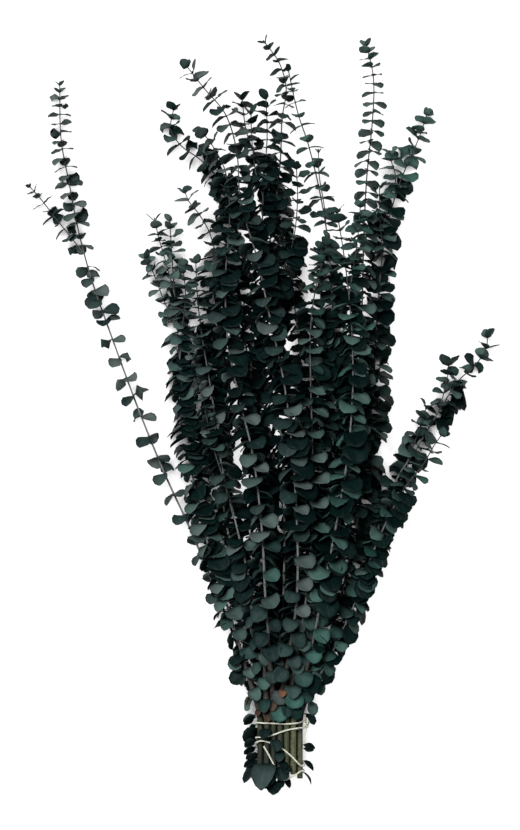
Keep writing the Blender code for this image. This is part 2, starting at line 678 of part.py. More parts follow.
def tieOutline():
    """The line round all the butts that the string's middle follows, and the way out from it."""
    half = buttWidth / 2
    corners = []
    for settings in stems.values():
        x, z, _ = tieSlot(*settings["place"])
        corners += [Vector((x + i * half, z + j * half)) for i in (-1, 1) for j in (-1, 1)]
    offset = clearance + stringWidth / 2
    outline = []
    steps = 360
    for step in range(steps):
        angle = 2 * math.pi * step / steps
        out = Vector((math.cos(angle), math.sin(angle)))
        outline.append((max(corners, key=out.dot) + out * offset, out))
    return outline


def thinned(points, most):
    """Leaves out the points of a line that lie nearly on the straight stretch past them."""
    kept = [0]
    while kept[-1] < len(points) - 1:
        start = kept[-1]
        end = start + 1
        while end + 1 < len(points) and (points[end + 1] - points[start]).length < 9:
            low = points[start]
            run = points[end + 1] - low
            off = 0.0
            for point in points[start + 1:end + 1]:
                share = (point - low).dot(run) / run.length_squared
                off = max(off, (point - low - run * share).length)
            if off > most:
                break
            end += 1
        kept.append(end)
    return kept


def stringPoints():
    """The string's middle line round the tie, with its thickness at each point."""
    outline = tieOutline()
    lengths = [0.0]
    for (before, _), (after, _) in zip(outline, outline[1:] + outline[:1]):
        lengths.append(lengths[-1] + (after - before).length)
    around = lengths[-1]
    route = [Vector((quarter * around / 4, y, lift)) for quarter, y, lift in stringRoute]
    knot = route[knotAt]
    points = []
    widths = []
    for place, y, lift in smoothRoute(route, step=0.7):
        run = place % around
        index = max(number for number, length in enumerate(lengths[:-1]) if length <= run)
        low, out = outline[index]
        high = outline[(index + 1) % len(outline)][0]
        share = (run - lengths[index]) / max(lengths[index + 1] - lengths[index], 0.000001)
        flat = low.lerp(high, share) + out * lift * stringWidth
        swell = max(0.0, 1 - ((place - knot.x) ** 2 + (y - knot.y) ** 2) / 9)
        points.append(Vector((flat.x, y, flat.y)))
        widths.append(stringWidth + (knotWidth - stringWidth) * swell)
    middle = min(range(len(points)), key=lambda number: -widths[number])
    kept = set(thinned(points, 0.12)) | {number for number in range(middle - 4, middle + 5, 2)}
    return [(points[number], widths[number]) for number in sorted(kept)]


def stringRings(sides=5):
    """The corners of the string's section at each of its points."""
    points = stringPoints()
    rings = []
    normal = Vector((0, 0, 1))
    for index, (point, width) in enumerate(points):
        before = (point - points[max(index - 1, 0)][0]).normalized()
        after = (points[min(index + 1, len(points) - 1)][0] - point).normalized()
        direction = (before + after).normalized()
        normal = (normal - direction * normal.dot(direction)).normalized()
        side = direction.cross(normal)
        ring = []
        for corner in range(sides):
            angle = 2 * math.pi * corner / sides
            ring.append(point + (normal * math.cos(angle) + side * math.sin(angle)) * width / 2)
        rings.append(ring)
    return rings


def stringTree(rings):
    points = [point for ring in rings for point in ring]
    count = len(rings[0])
    faces = []
    for index in range(len(rings) - 1):
        for corner in range(count):
            after = (corner + 1) % count
            low = index * count
            faces.append((low + corner, low + after, low + count + after, low + count + corner))
    return BVHTree.FromPolygons(points, faces)


def buildString(mesh, rings):
    rings = [[mesh.verts.new(point * mm) for point in ring] for ring in rings]
    mesh.faces.new(list(reversed(rings[0])))
    mesh.faces.new(rings[-1])
    for low, high in zip(rings, rings[1:]):
        loft(mesh, low, high)


def makeMaterial(name, colour, roughness):
    material = bpy.data.materials.new(name)
    material.use_nodes = True
    shader = material.node_tree.nodes["Principled BSDF"]
    shader.inputs["Base Color"].default_value = (*colour, 1.0)
    shader.inputs["Roughness"].default_value = roughness
    shader.inputs["Metallic"].default_value = 0.0
    material.diffuse_color = (*colour, 1.0)
    return material


def addObject(name, mesh, material):
    data = bpy.data.meshes.new(name)
    mesh.to_mesh(data)
    mesh.free()
    data.materials.append(material)
    piece = bpy.data.objects.new(name, data)
    bpy.context.scene.collection.objects.link(piece)
    return piece


def main():
    for piece in list(bpy.data.objects):
        bpy.data.objects.remove(piece)
    shoots = makeShoots()
    byName = {shoot.name: shoot for shoot in reversed(shoots) if not shoot.parent}
    rings = stringRings()
    room = Room(shoots, stringTree(rings))
    growButtLeaves(room, byName)
    growLeaves(room, shoots)
    total = 0
    leaves = sum(len(node[2]) for shoot in shoots for node in shoot.nodes)
    for shoot in shoots:
        if shoot.parent:
            continue
        mesh = bmesh.new()
        buildShoot(mesh, shoot)
        total += len(mesh.faces)
        material = makeMaterial(shoot.name + "_green", (0.02, 0.045, 0.04), 0.55)
        addObject(shoot.name, mesh, material)
    mesh = bmesh.new()
    buildString(mesh, rings)
    total += len(mesh.faces)
    string = addObject("tie_string", mesh, makeMaterial("cream_string", (0.75, 0.72, 0.6), 0.8))
    string.data.shade_smooth()
    print("triangles", total, "leaves", leaves)


main()
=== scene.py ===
import json
import math
import random

import bpy
import bmesh
import numpy as np
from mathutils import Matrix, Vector
from mathutils.bvhtree import BVHTree

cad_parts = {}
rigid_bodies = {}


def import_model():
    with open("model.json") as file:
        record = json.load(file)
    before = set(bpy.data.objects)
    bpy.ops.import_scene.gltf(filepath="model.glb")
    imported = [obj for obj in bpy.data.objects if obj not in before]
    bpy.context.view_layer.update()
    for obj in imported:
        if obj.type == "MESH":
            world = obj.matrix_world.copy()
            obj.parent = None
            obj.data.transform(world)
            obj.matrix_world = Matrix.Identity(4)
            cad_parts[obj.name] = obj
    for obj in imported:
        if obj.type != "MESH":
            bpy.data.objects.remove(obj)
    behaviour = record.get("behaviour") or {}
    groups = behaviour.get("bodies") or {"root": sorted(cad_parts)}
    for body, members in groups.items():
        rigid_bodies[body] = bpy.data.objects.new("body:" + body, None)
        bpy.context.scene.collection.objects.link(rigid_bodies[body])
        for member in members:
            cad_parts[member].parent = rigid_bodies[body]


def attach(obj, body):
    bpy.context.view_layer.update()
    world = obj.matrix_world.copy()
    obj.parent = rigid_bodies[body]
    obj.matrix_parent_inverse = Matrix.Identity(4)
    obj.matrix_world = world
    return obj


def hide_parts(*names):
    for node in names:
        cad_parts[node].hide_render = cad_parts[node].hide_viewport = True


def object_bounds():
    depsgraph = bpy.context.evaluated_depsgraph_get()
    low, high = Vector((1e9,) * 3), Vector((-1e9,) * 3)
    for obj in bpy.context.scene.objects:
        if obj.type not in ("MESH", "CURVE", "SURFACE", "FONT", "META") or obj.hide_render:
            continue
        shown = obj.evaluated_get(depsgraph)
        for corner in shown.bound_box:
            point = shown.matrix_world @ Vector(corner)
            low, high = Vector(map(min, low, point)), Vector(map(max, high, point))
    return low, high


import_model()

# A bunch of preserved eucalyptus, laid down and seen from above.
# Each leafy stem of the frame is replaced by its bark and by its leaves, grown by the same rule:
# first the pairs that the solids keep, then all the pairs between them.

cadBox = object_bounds()
mm = 0.001  # metres in a millimetre; the growth rule works in millimetres
highest = cadBox[1][2] / mm + 0.5  # no leaf between the solids' leaves reaches above this

# the tie and the spread of the stems
buttWidth = 6.0
buttPitch = 6.6
tieCentre = 20.0
tieFoot = -340.0
fanStart = -302.0
fanStep = 2.5
leavesFrom = -291.0
clearance = 0.3
stringWidth = 1.7
bladeThickness = 0.7
nodeLength = 0.9
twigNodeLength = 2.4
bigLeaf = 17.5

# what changes along a stem, against the distance from its tip
leafLengths = [(0, 5.5), (9, 9.5), (25, 12.0), (60, 13.8), (120, 15.2), (250, 17.0), (400, 18.2), (900, 18.5)]
leafShapes = [(0, 0.85), (30, 0.95), (120, 1.02), (900, 1.06)]
internodes = [(0, 6.5), (12, 8.0), (60, 9.0), (140, 10.5), (260, 12.0), (420, 13.0), (900, 13.5)]
rootPitches = [(0, 60), (10, 36), (30, 8), (80, -6), (200, -8), (900, -8)]
tipPitches = [(0, 50), (10, 20), (30, -12), (80, -28), (200, -34), (400, -36), (900, -38)]
stemTaper = [(0, 1.0), (0.04, 0.8), (0.12, 0.46), (0.3, 0.35), (0.6, 0.28), (0.85, 0.22), (1.0, 0.16)]

# where a leaf finds no room, it turns, bends or rolls
leanings = [(0, 0, 0), (14, 0, 0), (-14, 0, 0), (0, 14, 0), (0, -14, 0), (0, 0, 24), (0, 0, -24),
            (26, 10, 0), (-26, 10, 0), (26, -18, 0), (-26, -18, 0), (0, 34, 0), (0, -32, 0),
            (36, 20, 30), (-36, 20, -30), (0, 58, 0), (22, 58, 20), (-22, 58, -20)]
shrinkings = [1.0, 0.84, 0.7]
pressedFrom = -130.0
facing = (10, 42)  # how far the leaves at the sides roll to face up
facingLow = 22.0  # and how much further near the tie
facingBehind = (45, 75)  # and how far the leaves between the pairs roll
bareTops = (0, 0.3, 0.6)  # share of the leaves on top that a stem lacks, for each row of the tie
bareFrom = -210.0  # they lack none below this
hanging = 24.0  # how far a leaf on top of its stem bends back over it
slimTop = 170.0  # a slim stem's leaves stay on edge this far from its tip
sparseFrom = 240.0  # a sparse stem's leaves grow smaller and further apart from here down
twigBare = 5.0  # how much of a side shoot has no leaves
turning = dict(after=18.0, over=60.0, rate=0.03)  # how the pairs turn round the stem
cornerLift = 0.1  # how far a stem's tube is kept clear
thinnest = 0.42  # a bent blade is nowhere thinner than this
forkRoom = 4.5  # no pair grows this near to a side shoot
topLength = 60  # the top of a stem, where no leaf is lacking and none grows between the pairs
hangOver = 120
pitchShare = 0.6  # how much of a bend the leaf's root takes
buttShape = 0.8

# how the leaves vary; press: what changes near the tie
variety = dict(size=(0.84, 1.14), shape=(0.94, 1.06), rootPitch=6, tipPitch=24, turn=28, roll=32,
               calm=0.45, spacing=(0.86, 1.14))
press = dict(over=140, size=0.2, rootPitch=26, tipPitch=24)
behindSize = dict(above=60, high=1.12, low=1.24)  # the leaves between the pairs are larger low down

# place in the tie, cut end, turn of the first pair, how light and how green the leaves are (0 to 1),
# and the route above the tie; older: how much further from its tip a stem's leaves are taken to be;
# keep, of: the pairs that the solid keeps
usualStem = dict(older=60, scale=1.05, spacing=0.92, keep=(0, 3), of=8)
stems = {
    "stem_01": dict(place=(0, 0), cut=-358, turn=38, older=0, scale=1.0, spacing=1.0,
        keep=(0,), of=3, light=0.45, green=0.12, slim=1.0, sparse=1.6, route=[
        (-14, -254, 7.5), (-40, -186, 9), (-70, -114, 9.5), (-94, -62, 9.5), (-121, 4, 9.5),
        (-148, 77, 9), (-168, 134, 8.5), (-181, 182, 8), (-190, 228, 8), (-198.5, 274, 7.5),
        (-200, 330, 7)]),
    "stem_02": dict(place=(1, 0), cut=-363, turn=50, older=70, scale=0.98, spacing=0.8,
        keep=(0,), of=3, light=0.6, green=0.4, route=[
        (-13, -256, 20), (-34, -186, 25), (-54, -121, 21), (-69, -51, 16), (-77, 19, 14),
        (-83, 94, 13), (-88, 159, 12), (-90, 194, 10)]),
    "stem_03": dict(place=(2, 0), cut=-352, turn=32, scale=1.0, spacing=0.95, light=0.5, green=0.2, route=[
        (3, -241, 32), (-6, -186, 38), (-22, -116, 38), (-38, -51, 34), (-47, 14, 33),
        (-57, 74, 30), (-62, 114, 25), (-64, 152, 20)]),
    "stem_04": dict(place=(2, 1), cut=-360, turn=45, older=80, light=0.4, green=0.2, route=[
        (10, -241, 40), (5, -176, 50), (2, -116, 54), (-7, -41, 56), (-22, 22, 56),
        (-32, 74, 54), (-34, 134, 50), (-30, 199, 45), (-34, 239, 41), (-46, 264, 38),
        (-60, 283, 34)]),
    "stem_05": dict(place=(0, 3), cut=-365, turn=36, older=50, light=0.25, green=0.1, route=[
        (25, -241, 9), (30, -176, 12), (37, -106, 14), (42, -36, 14), (42, 19, 14),
        (38, 79, 14), (30, 134, 14), (16, 209, 14), (0, 249, 15), (-13, 279, 15),
        (-18, 315, 13)]),
    "stem_06": dict(place=(2, 2), cut=-367, turn=-42, spacing=0.95, light=0.4, green=0.12, route=[
        (28, -241, 42), (36, -186, 53), (37, -126, 60), (32, -36, 66), (23, 34, 66),
        (10, 94, 64), (-3, 154, 60), (-19, 209, 55), (-23, 259, 50), (-34, 296, 45),
        (-55, 322, 41), (-73, 345, 37)]),
    "stem_07": dict(place=(1, 1), cut=-354, turn=48, older=5, scale=1.0, spacing=1.0,
        light=0.25, green=0.1, route=[
        (8, -236, 25), (6, -176, 30), (2, -116, 32), (-4, -36, 31), (-9, 39, 30),
        (-5, 84, 30), (2, 134, 30), (12, 184, 29), (20, 249, 26), (22, 294, 23),
        (26, 324, 20), (19, 350, 17), (4, 371, 15)]),
    "stem_08": dict(place=(0, 4), cut=-357, turn=-35, older=0, scale=0.95, spacing=1.0, slim=1.4,
        light=0.6, green=0.7, route=[
        (42, -241, 9), (53, -186, 12), (65, -116, 11), (75, -46, 10), (77, 14, 10),
        (74, 84, 12), (68, 169, 14), (60, 219, 15), (48, 269, 15), (38, 299, 14),
        (28, 344, 12)]),
    "stem_09": dict(place=(2, 3), cut=-355, turn=40, light=0.52, green=0.5, route=[
        (36, -246, 33), (45, -186, 43), (51, -116, 47), (52, -46, 49), (50, 34, 48),
        (50, 84, 46), (55, 124, 43), (64, 158, 39), (68, 176, 37)]),
    "stem_10": dict(place=(1, 4), cut=-362, turn=30, older=10, scale=1.0, spacing=1.0,
        keep=(0,), of=3, light=0.62, green=0.55, slim=1.0, route=[
        (43, -246, 22), (56, -186, 30), (75, -126, 34), (87, -61, 35), (96, 14, 35),
        (101, 104, 34), (103, 174, 30), (106, 234, 25), (112, 294, 20), (113, 334, 17),
        (106, 369, 14)]),
    "stem_11": dict(place=(1, 5), cut=-359, turn=-45, older=80,
        keep=(0,), of=3, light=0.64, green=0.6, route=[
        (60, -246, 18), (78, -191, 20), (94, -121, 17), (105, -56, 14), (112, 14, 12),
        (116, 84, 11), (124, 174, 10), (134, 214, 9.5), (144, 242, 9), (158, 274, 8.5),
        (167, 300, 8)]),
    "stem_12": dict(place=(2, 4), cut=-358, turn=52, older=90, light=0.62, green=0.75, route=[
        (49, -241, 37), (60, -186, 49), (72, -126, 56), (85, -51, 60), (91, 14, 60),
        (91, 74, 57), (87, 124, 51), (82, 164, 45), (76, 201, 40)]),
    "stem_13": dict(place=(0, 5), cut=-360, turn=34, older=140, scale=1.0, spacing=1.0,
        keep=(0,), of=3, light=0.45, green=0.4, sparse=1.2, tipAge=70, route=[
        (58, -258, 7.5), (78, -216, 8.5), (95, -176, 9), (117, -116, 9.5), (136, -66, 9.5),
        (155, -36, 9.5), (177, 0, 9), (197, 32, 8.5), (215, 49, 8), (226, 66, 7.5),
        (227, 78, 7)]),
    "stem_14": dict(place=(1, 6), cut=-363, turn=-38, scale=1.0, spacing=0.95,
        keep=(0,), of=3, light=0.56, green=0.55, route=[
        (70, -241, 24), (93, -191, 27), (109, -146, 27), (126, -106, 28), (144, -73, 29),
        (162, -50, 29), (173, -31, 28), (181, -20, 27)]),
    "stem_15": dict(place=(0, 2), cut=-361, turn=42, older=160,
        keep=(0, 4), of=9, light=0.38, green=0.25, route=[
        (14, -241, 9), (8, -186, 11), (4, -106, 11), (0, -36, 10.5), (-10, 34, 10),
        (-17, 94, 10), (-24, 154, 10), (-30, 199, 10), (-42, 234, 10), (-60, 254, 10),
        (-78, 267, 10), (-89, 284, 10.5), (-86, 305, 11)]),
    "stem_16": dict(place=(1, 2), cut=-366, turn=-50, keep=(0, 4), of=9, light=0.2, green=0.08, route=[
        (18, -241, 23), (23, -186, 31), (24, -106, 35), (22, -36, 38), (16, 14, 41),
        (8, 84, 44), (3, 154, 44), (3, 214, 41), (7, 274, 36), (6, 314, 31)]),
    "stem_17": dict(place=(0, 1), cut=-356, turn=-45, older=90, spacing=0.95,
        keep=(0, 4), of=9, light=0.5, green=0.25, route=[
        (-2, -241, 8.5), (-17, -186, 10.5), (-34, -106, 11), (-44, -36, 11), (-47, 24, 11),
        (-48, 84, 11), (-47, 112, 12), (-45, 140, 13), (-45, 160, 14), (-50, 180, 15),
        (-60, 198, 16), (-71, 212, 17), (-75, 222, 17)]),
    "stem_18": dict(place=(1, 3), cut=-353, turn=44, keep=(0, 4), of=9, light=0.55, green=0.5, route=[
        (31, -241, 22), (39, -186, 28), (51, -106, 27), (60, -36, 25), (62, 24, 26),
        (61, 84, 27), (60, 134, 27), (62, 166, 26)]),
}

# side shoots: their stem, the y where they leave it, and their route
sideShoots = [
    ("stem_01", 160, [(-190, 178, 8.5), (-206, 198, 8), (-220, 216, 7), (-231, 228, 6.5)]),
    ("stem_02", 118, [(-94, 152, 16), (-101, 176, 16), (-105, 194, 15)]),
    ("stem_02", 84, [(-97, 116, 10), (-106, 140, 9), (-114, 157, 8)]),
    ("stem_11", 214, [(135, 238, 13), (131, 251, 16), (129, 261, 18)]),
    ("stem_13", 2, [(184, 24, 13), (187, 38, 15), (188, 50, 16)]),
    ("stem_13", -48, [(158, -18, 13), (162, -4, 15), (166, 7, 16)]),
    ("stem_08", 178, [(64, 206, 21), (59, 236, 23), (58, 262, 23)]),
    ("stem_02", 56, [(-77, 88, 20), (-74, 118, 22), (-77, 148, 22)]),
    ("stem_03", -104, [(-34, -72, 40), (-47, -30, 40), (-56, 12, 38), (-66, 56, 33)]),
    ("stem_11", -112, [(95, -84, 24), (98, -50, 24), (101, -10, 23), (104, 30, 22)]),
    ("stem_16", 215, [(-4, 238, 46), (-8, 270, 47), (-9, 298, 46)]),
    ("stem_16", 104, [(19, 134, 48), (32, 168, 49), (37, 208, 49), (36, 244, 47)]),
    ("stem_12", 118, [(93, 150, 57), (97, 180, 56), (99, 206, 54)]),
    ("stem_11", 150, [(121, 174, 17), (119, 200, 20), (119, 226, 21)]),
]

# leaves left on the butts: stem, y, side, azimuth, pitch, roll, length and how light
buttLeaves = [
    ("stem_02", -301, 3, 0, -24, 48, 15, 0.85),
    ("stem_02", -341, 3, 0, -30, 46, 12, 0.1),
    ("stem_02", -354, 3, 0, -62, 40, 20, 0.3),
    ("stem_03", -349, 0, -20, -72, 0, 31, 0.72),
    ("stem_14", -335, 1, 0, -10, -46, 11, 0.1),
    ("stem_14", -359, 1, 0, -74, -10, 15, 0.15),
]

# more leaves on the butts, which only this script shows: stem, y, side, azimuth, pitch, roll,
# length, shape, how light, how green and how dry
looseLeaves = [
    ("stem_06", -290, 0, 0, -72, 0, 18, 1.0, 1.0, 1.2, 0),
    ("stem_06", -277, 0, 0, -40, 10, 11, 0.8, 0.8, 0.2, 1),
    ("stem_03", -316, 0, -30, -66, 0, 14, 0.9, 0.25, 0.1, 0),
    ("stem_04", -327, 0, 20, -74, 0, 15, 0.9, 0.5, 0.2, 0),
    ("stem_06", -337, 0, -10, -76, 0, 12, 0.9, 0.45, 0.2, 0),
    ("stem_06", -353, 0, 10, -74, 0, 16, 0.9, 0.4, 0.1, 0),
    ("stem_09", -353, 0, -20, -60, 10, 13, 0.8, 0.2, 0.1, 0),
    ("stem_02", -326, 3, 0, -40, 44, 14, 0.9, 0.15, 0.1, 0),
    ("stem_02", -333, 3, -20, -56, 44, 17, 0.9, 0.1, 0.1, 0),
    ("stem_01", -336, 3, 10, -40, 30, 17, 0.9, 0.1, 0.1, 0),
    ("stem_01", -347, 3, 20, -50, 30, 20, 0.8, 0.1, 0.1, 0),
    ("stem_02", -346, 3, -30, -60, 40, 17, 0.9, 0.15, 0.1, 0),
    ("stem_14", -326, 1, 0, -44, -46, 14, 0.95, 0.1, 0.2, 0),
    ("stem_11", -350, 0, 20, -64, -20, 14, 0.8, 0.1, 0.2, 0),
    ("stem_14", -348, 1, 0, -66, -40, 15, 0.6, 0.1, 0.2, 0),
    ("stem_16", -362, 0, -10, -64, 0, 21, 0.8, 0.3, 0.1, 0),
    ("stem_06", -360, 0, -30, -64, 0, 20, 0.75, 0.15, 0.1, 0),
    ("stem_04", -354, 0, -30, -66, 0, 22, 0.8, 0.4, 0.1, 0),
    ("stem_01", -352, 3, 30, -62, 20, 24, 0.6, 0.05, 0.1, 0),
    ("stem_14", -298, 1, 0, -50, -46, 15, 0.9, 0.2, 0.3, 0),
    ("stem_02", -311, 3, 10, -50, 46, 12, 0.9, 0.2, 0.1, 0),
    ("stem_05", -362, 0, 30, -60, 0, 15, 0.6, 0.2, 0.1, 0),
    ("stem_02", -306, 3, -10, -58, 60, 18, 0.8, 0.05, 0.1, 0),
    ("stem_01", -318, 3, 0, -60, 60, 20, 0.8, 0.05, 0.1, 0),
    ("stem_02", -318, 3, 20, -66, 70, 20, 0.8, 0.1, 0.1, 0),
    ("stem_06", -345, 0, 30, -72, -10, 16, 0.9, 0.15, 0.3, 0),
    ("stem_10", -358, 0, 0, -60, 0, 17, 0.8, 0.1, 0.1, 0),
    ("stem_03", -286, 0, -30, -60, 10, 13, 0.8, 0.4, 0.0, 0.3),
    ("stem_04", -284, 0, -10, -64, 0, 12, 0.8, 0.45, 0.0, 0.3),
    ("stem_02", -284, 3, 20, -60, 40, 13, 0.8, 0.4, 0.0, 0.3),
    ("stem_02", -292, 0, -30, -60, 20, 12, 0.8, 0.3, 0.0, 0.35),
    ("stem_03", -296, 0, 10, -70, 0, 12, 0.8, 0.3, 0.0, 0.35),
    ("stem_04", -294, 0, 0, -70, 0, 13, 0.9, 0.5, 0.2, 0.1),
    ("stem_09", -292, 0, 10, -70, 0, 14, 0.9, 0.5, 0.5, 0),
    ("stem_12", -290, 0, 20, -66, 0, 15, 0.9, 0.4, 0.6, 0),
]

# the string: quarter turns from the right over the top, y, and how far off the stems in widths
stringRoute = [
    (0.16, -329, 0), (0.16, -320, 0.1), (0.14, -314.5, 1.2), (0.10, -309, 1.5), (0.20, -305.6, 1.2),
    (0.45, -307, 0.3), (0.8, -308.2, 0), (1.4, -307.6, 0), (2.0, -307.5, 0), (3.0, -310, 0),
    (3.8, -313, 0), (4.2, -312.8, 0), (4.5, -312.6, 0), (4.9, -314.8, 0), (5.25, -318.6, 0),
    (5.5, -320.8, 0), (5.8, -321.8, 0), (6.0, -322.5, 0), (6.4, -325.5, 0), (7.0, -334, 0),
    (7.6, -343, 0), (8.0, -349, 0), (8.3, -350.5, 0), (8.5, -347, 0), (8.69, -341, 0),
    (9.065, -331.5, 0), (9.36, -327.4, 0), (9.62, -325.2, 0), (9.8, -325.8, 0), (10.0, -328, 0),
    (10.4, -332.5, 0), (11.0, -342, 0), (11.6, -351, 0), (12.0, -355.5, 0), (12.33, -355.5, 0),
    (12.66, -360, 0), (12.84, -363, 0), (13.0, -364, 0), (13.1, -361, 0), (13.18, -355, 0),
    (13.29, -348, 0), (13.45, -338.5, 0), (13.6, -330.5, 0)]


# the growth rule

def clamp(value):
    return min(max(value, 0), 1)


def along(table, place):
    if place <= table[0][0]:
        return table[0][1]
    for (start, low), (end, high) in zip(table, table[1:]):
        if place <= end:
            return low + (high - low) * (place - start) / (end - start)
    return table[-1][1]


def smoothRoute(points, straight=0, step=2.0):
    points = [Vector(point) for point in points]
    knots = [0.0]
    for before, after in zip(points, points[1:]):
        knots.append(knots[-1] + (after - before).length)
    slopes = []
    last = len(points) - 1
    for index in range(last + 1):
        low = max(index - 1, 0)
        high = min(index + 1, last)
        slopes.append((points[high] - points[low]) / (knots[high] - knots[low]))
    for index in range(straight):
        slopes[index] = Vector((0, 1, 0))
    samples = []
    for index in range(last):
        span = knots[index + 1] - knots[index]
        count = max(1, round(span / step))
        for part in range(count):
            t = part / count
            samples.append((2 * t ** 3 - 3 * t ** 2 + 1) * points[index]
                           + (t ** 3 - 2 * t ** 2 + t) * span * slopes[index]
                           + (3 * t ** 2 - 2 * t ** 3) * points[index + 1]
                           + (t ** 3 - t ** 2) * span * slopes[index + 1])
    samples.append(points[-1])
    return samples


class Shoot:
    def __init__(self, name, number, samples, settings, parent=None):
        self.name = name
        self.number = number
        self.samples = samples
        self.settings = settings
        self.parent = parent
        self.lengths = [0.0]
        for before, after in zip(samples, samples[1:]):
            self.lengths.append(self.lengths[-1] + (after - before).length)
        self.total = self.lengths[-1]
        self.leafyFrom = twigBare if parent else self.lengthAtY(leavesFrom)
        self.startTurn = 0.0
        self.twigs = []
        self.leaves = []
        self.joints = []

    def lengthAtY(self, y):
        for sample, length in zip(self.samples, self.lengths):
            if sample.y >= y:
                return length
        return self.total

    def at(self, length):
        length = min(max(length, 0.0), self.total)
        low = 0
        high = len(self.lengths) - 1
        while high - low > 1:
            middle = (low + high) // 2
            if self.lengths[middle] <= length:
                low = middle
            else:
                high = middle
        share = (length - self.lengths[low]) / (self.lengths[high] - self.lengths[low])
        before = self.samples[max(low - 1, 0)]
        after = self.samples[min(high + 1, len(self.samples) - 1)]
        return self.samples[low].lerp(self.samples[high], share), (after - before).normalized()

    def halfWidth(self, length):
        if self.parent:
            share = length / self.total
            return 0.5 * (self.settings["rootWidth"] * (1 - share) + 1.0 * share)
        share = (length - self.leafyFrom) / (self.total - self.leafyFrom)
        return 0.5 * buttWidth * along(stemTaper, share)

    def sides(self, length):
        centre, direction = self.at(length)
        upward = Vector((0, 0, 1))
        first = (upward - direction * upward.dot(direction)).normalized()
        second = direction.cross(first)
        loose = max(0.0, length - self.leafyFrom - turning["after"])
        turned = self.settings["turn"] * min(1.0, loose / turning["over"]) + turning["rate"] * loose
        turned = math.radians(self.startTurn + turned)
        u = first * math.cos(turned) + second * math.sin(turned)
        v = second * math.cos(turned) - first * math.sin(turned)
        return centre, direction, [u, v, -u, -v]

    def slimAt(self, fromTip):
        return fromTip < slimTop and self.settings.get("slim")

    def sparseAt(self, fromTip):
        return self.settings.get("sparse", 1) if fromTip > sparseFrom else 1

    def settle(self, side, length):
        # turns a side shoot so that its corners meet those of the stem
        stem = self.parent
        outward = stem.sides(length)[2][side]
        low = stem.ring(length - twigNodeLength / 2)
        high = stem.ring(length + twigNodeLength / 2)
        root = [low[side - 1], low[side], high[side], high[side - 1]]
        self.begin = 2.0
        start = self.at(0.0)[0]
        while min((point - start).dot(outward) for point in self.ring(self.begin)) < 0.5:
            self.begin += 0.5
        nearest = None
        for turn in range(0, 360, 5):
            self.startTurn = turn
            away = sum((a - b).length for a, b in zip(root, self.ring(self.begin)))
            if nearest is None or away < nearest:
                nearest = away
                best = turn
        self.startTurn = best

    def ring(self, length, extra=0.0):
        centre, direction, (u, v, _, _) = self.sides(length)
        half = self.halfWidth(length) + extra
        return [centre + (u + v) * half, centre + (v - u) * half,
                centre - (u + v) * half, centre + (u - v) * half]


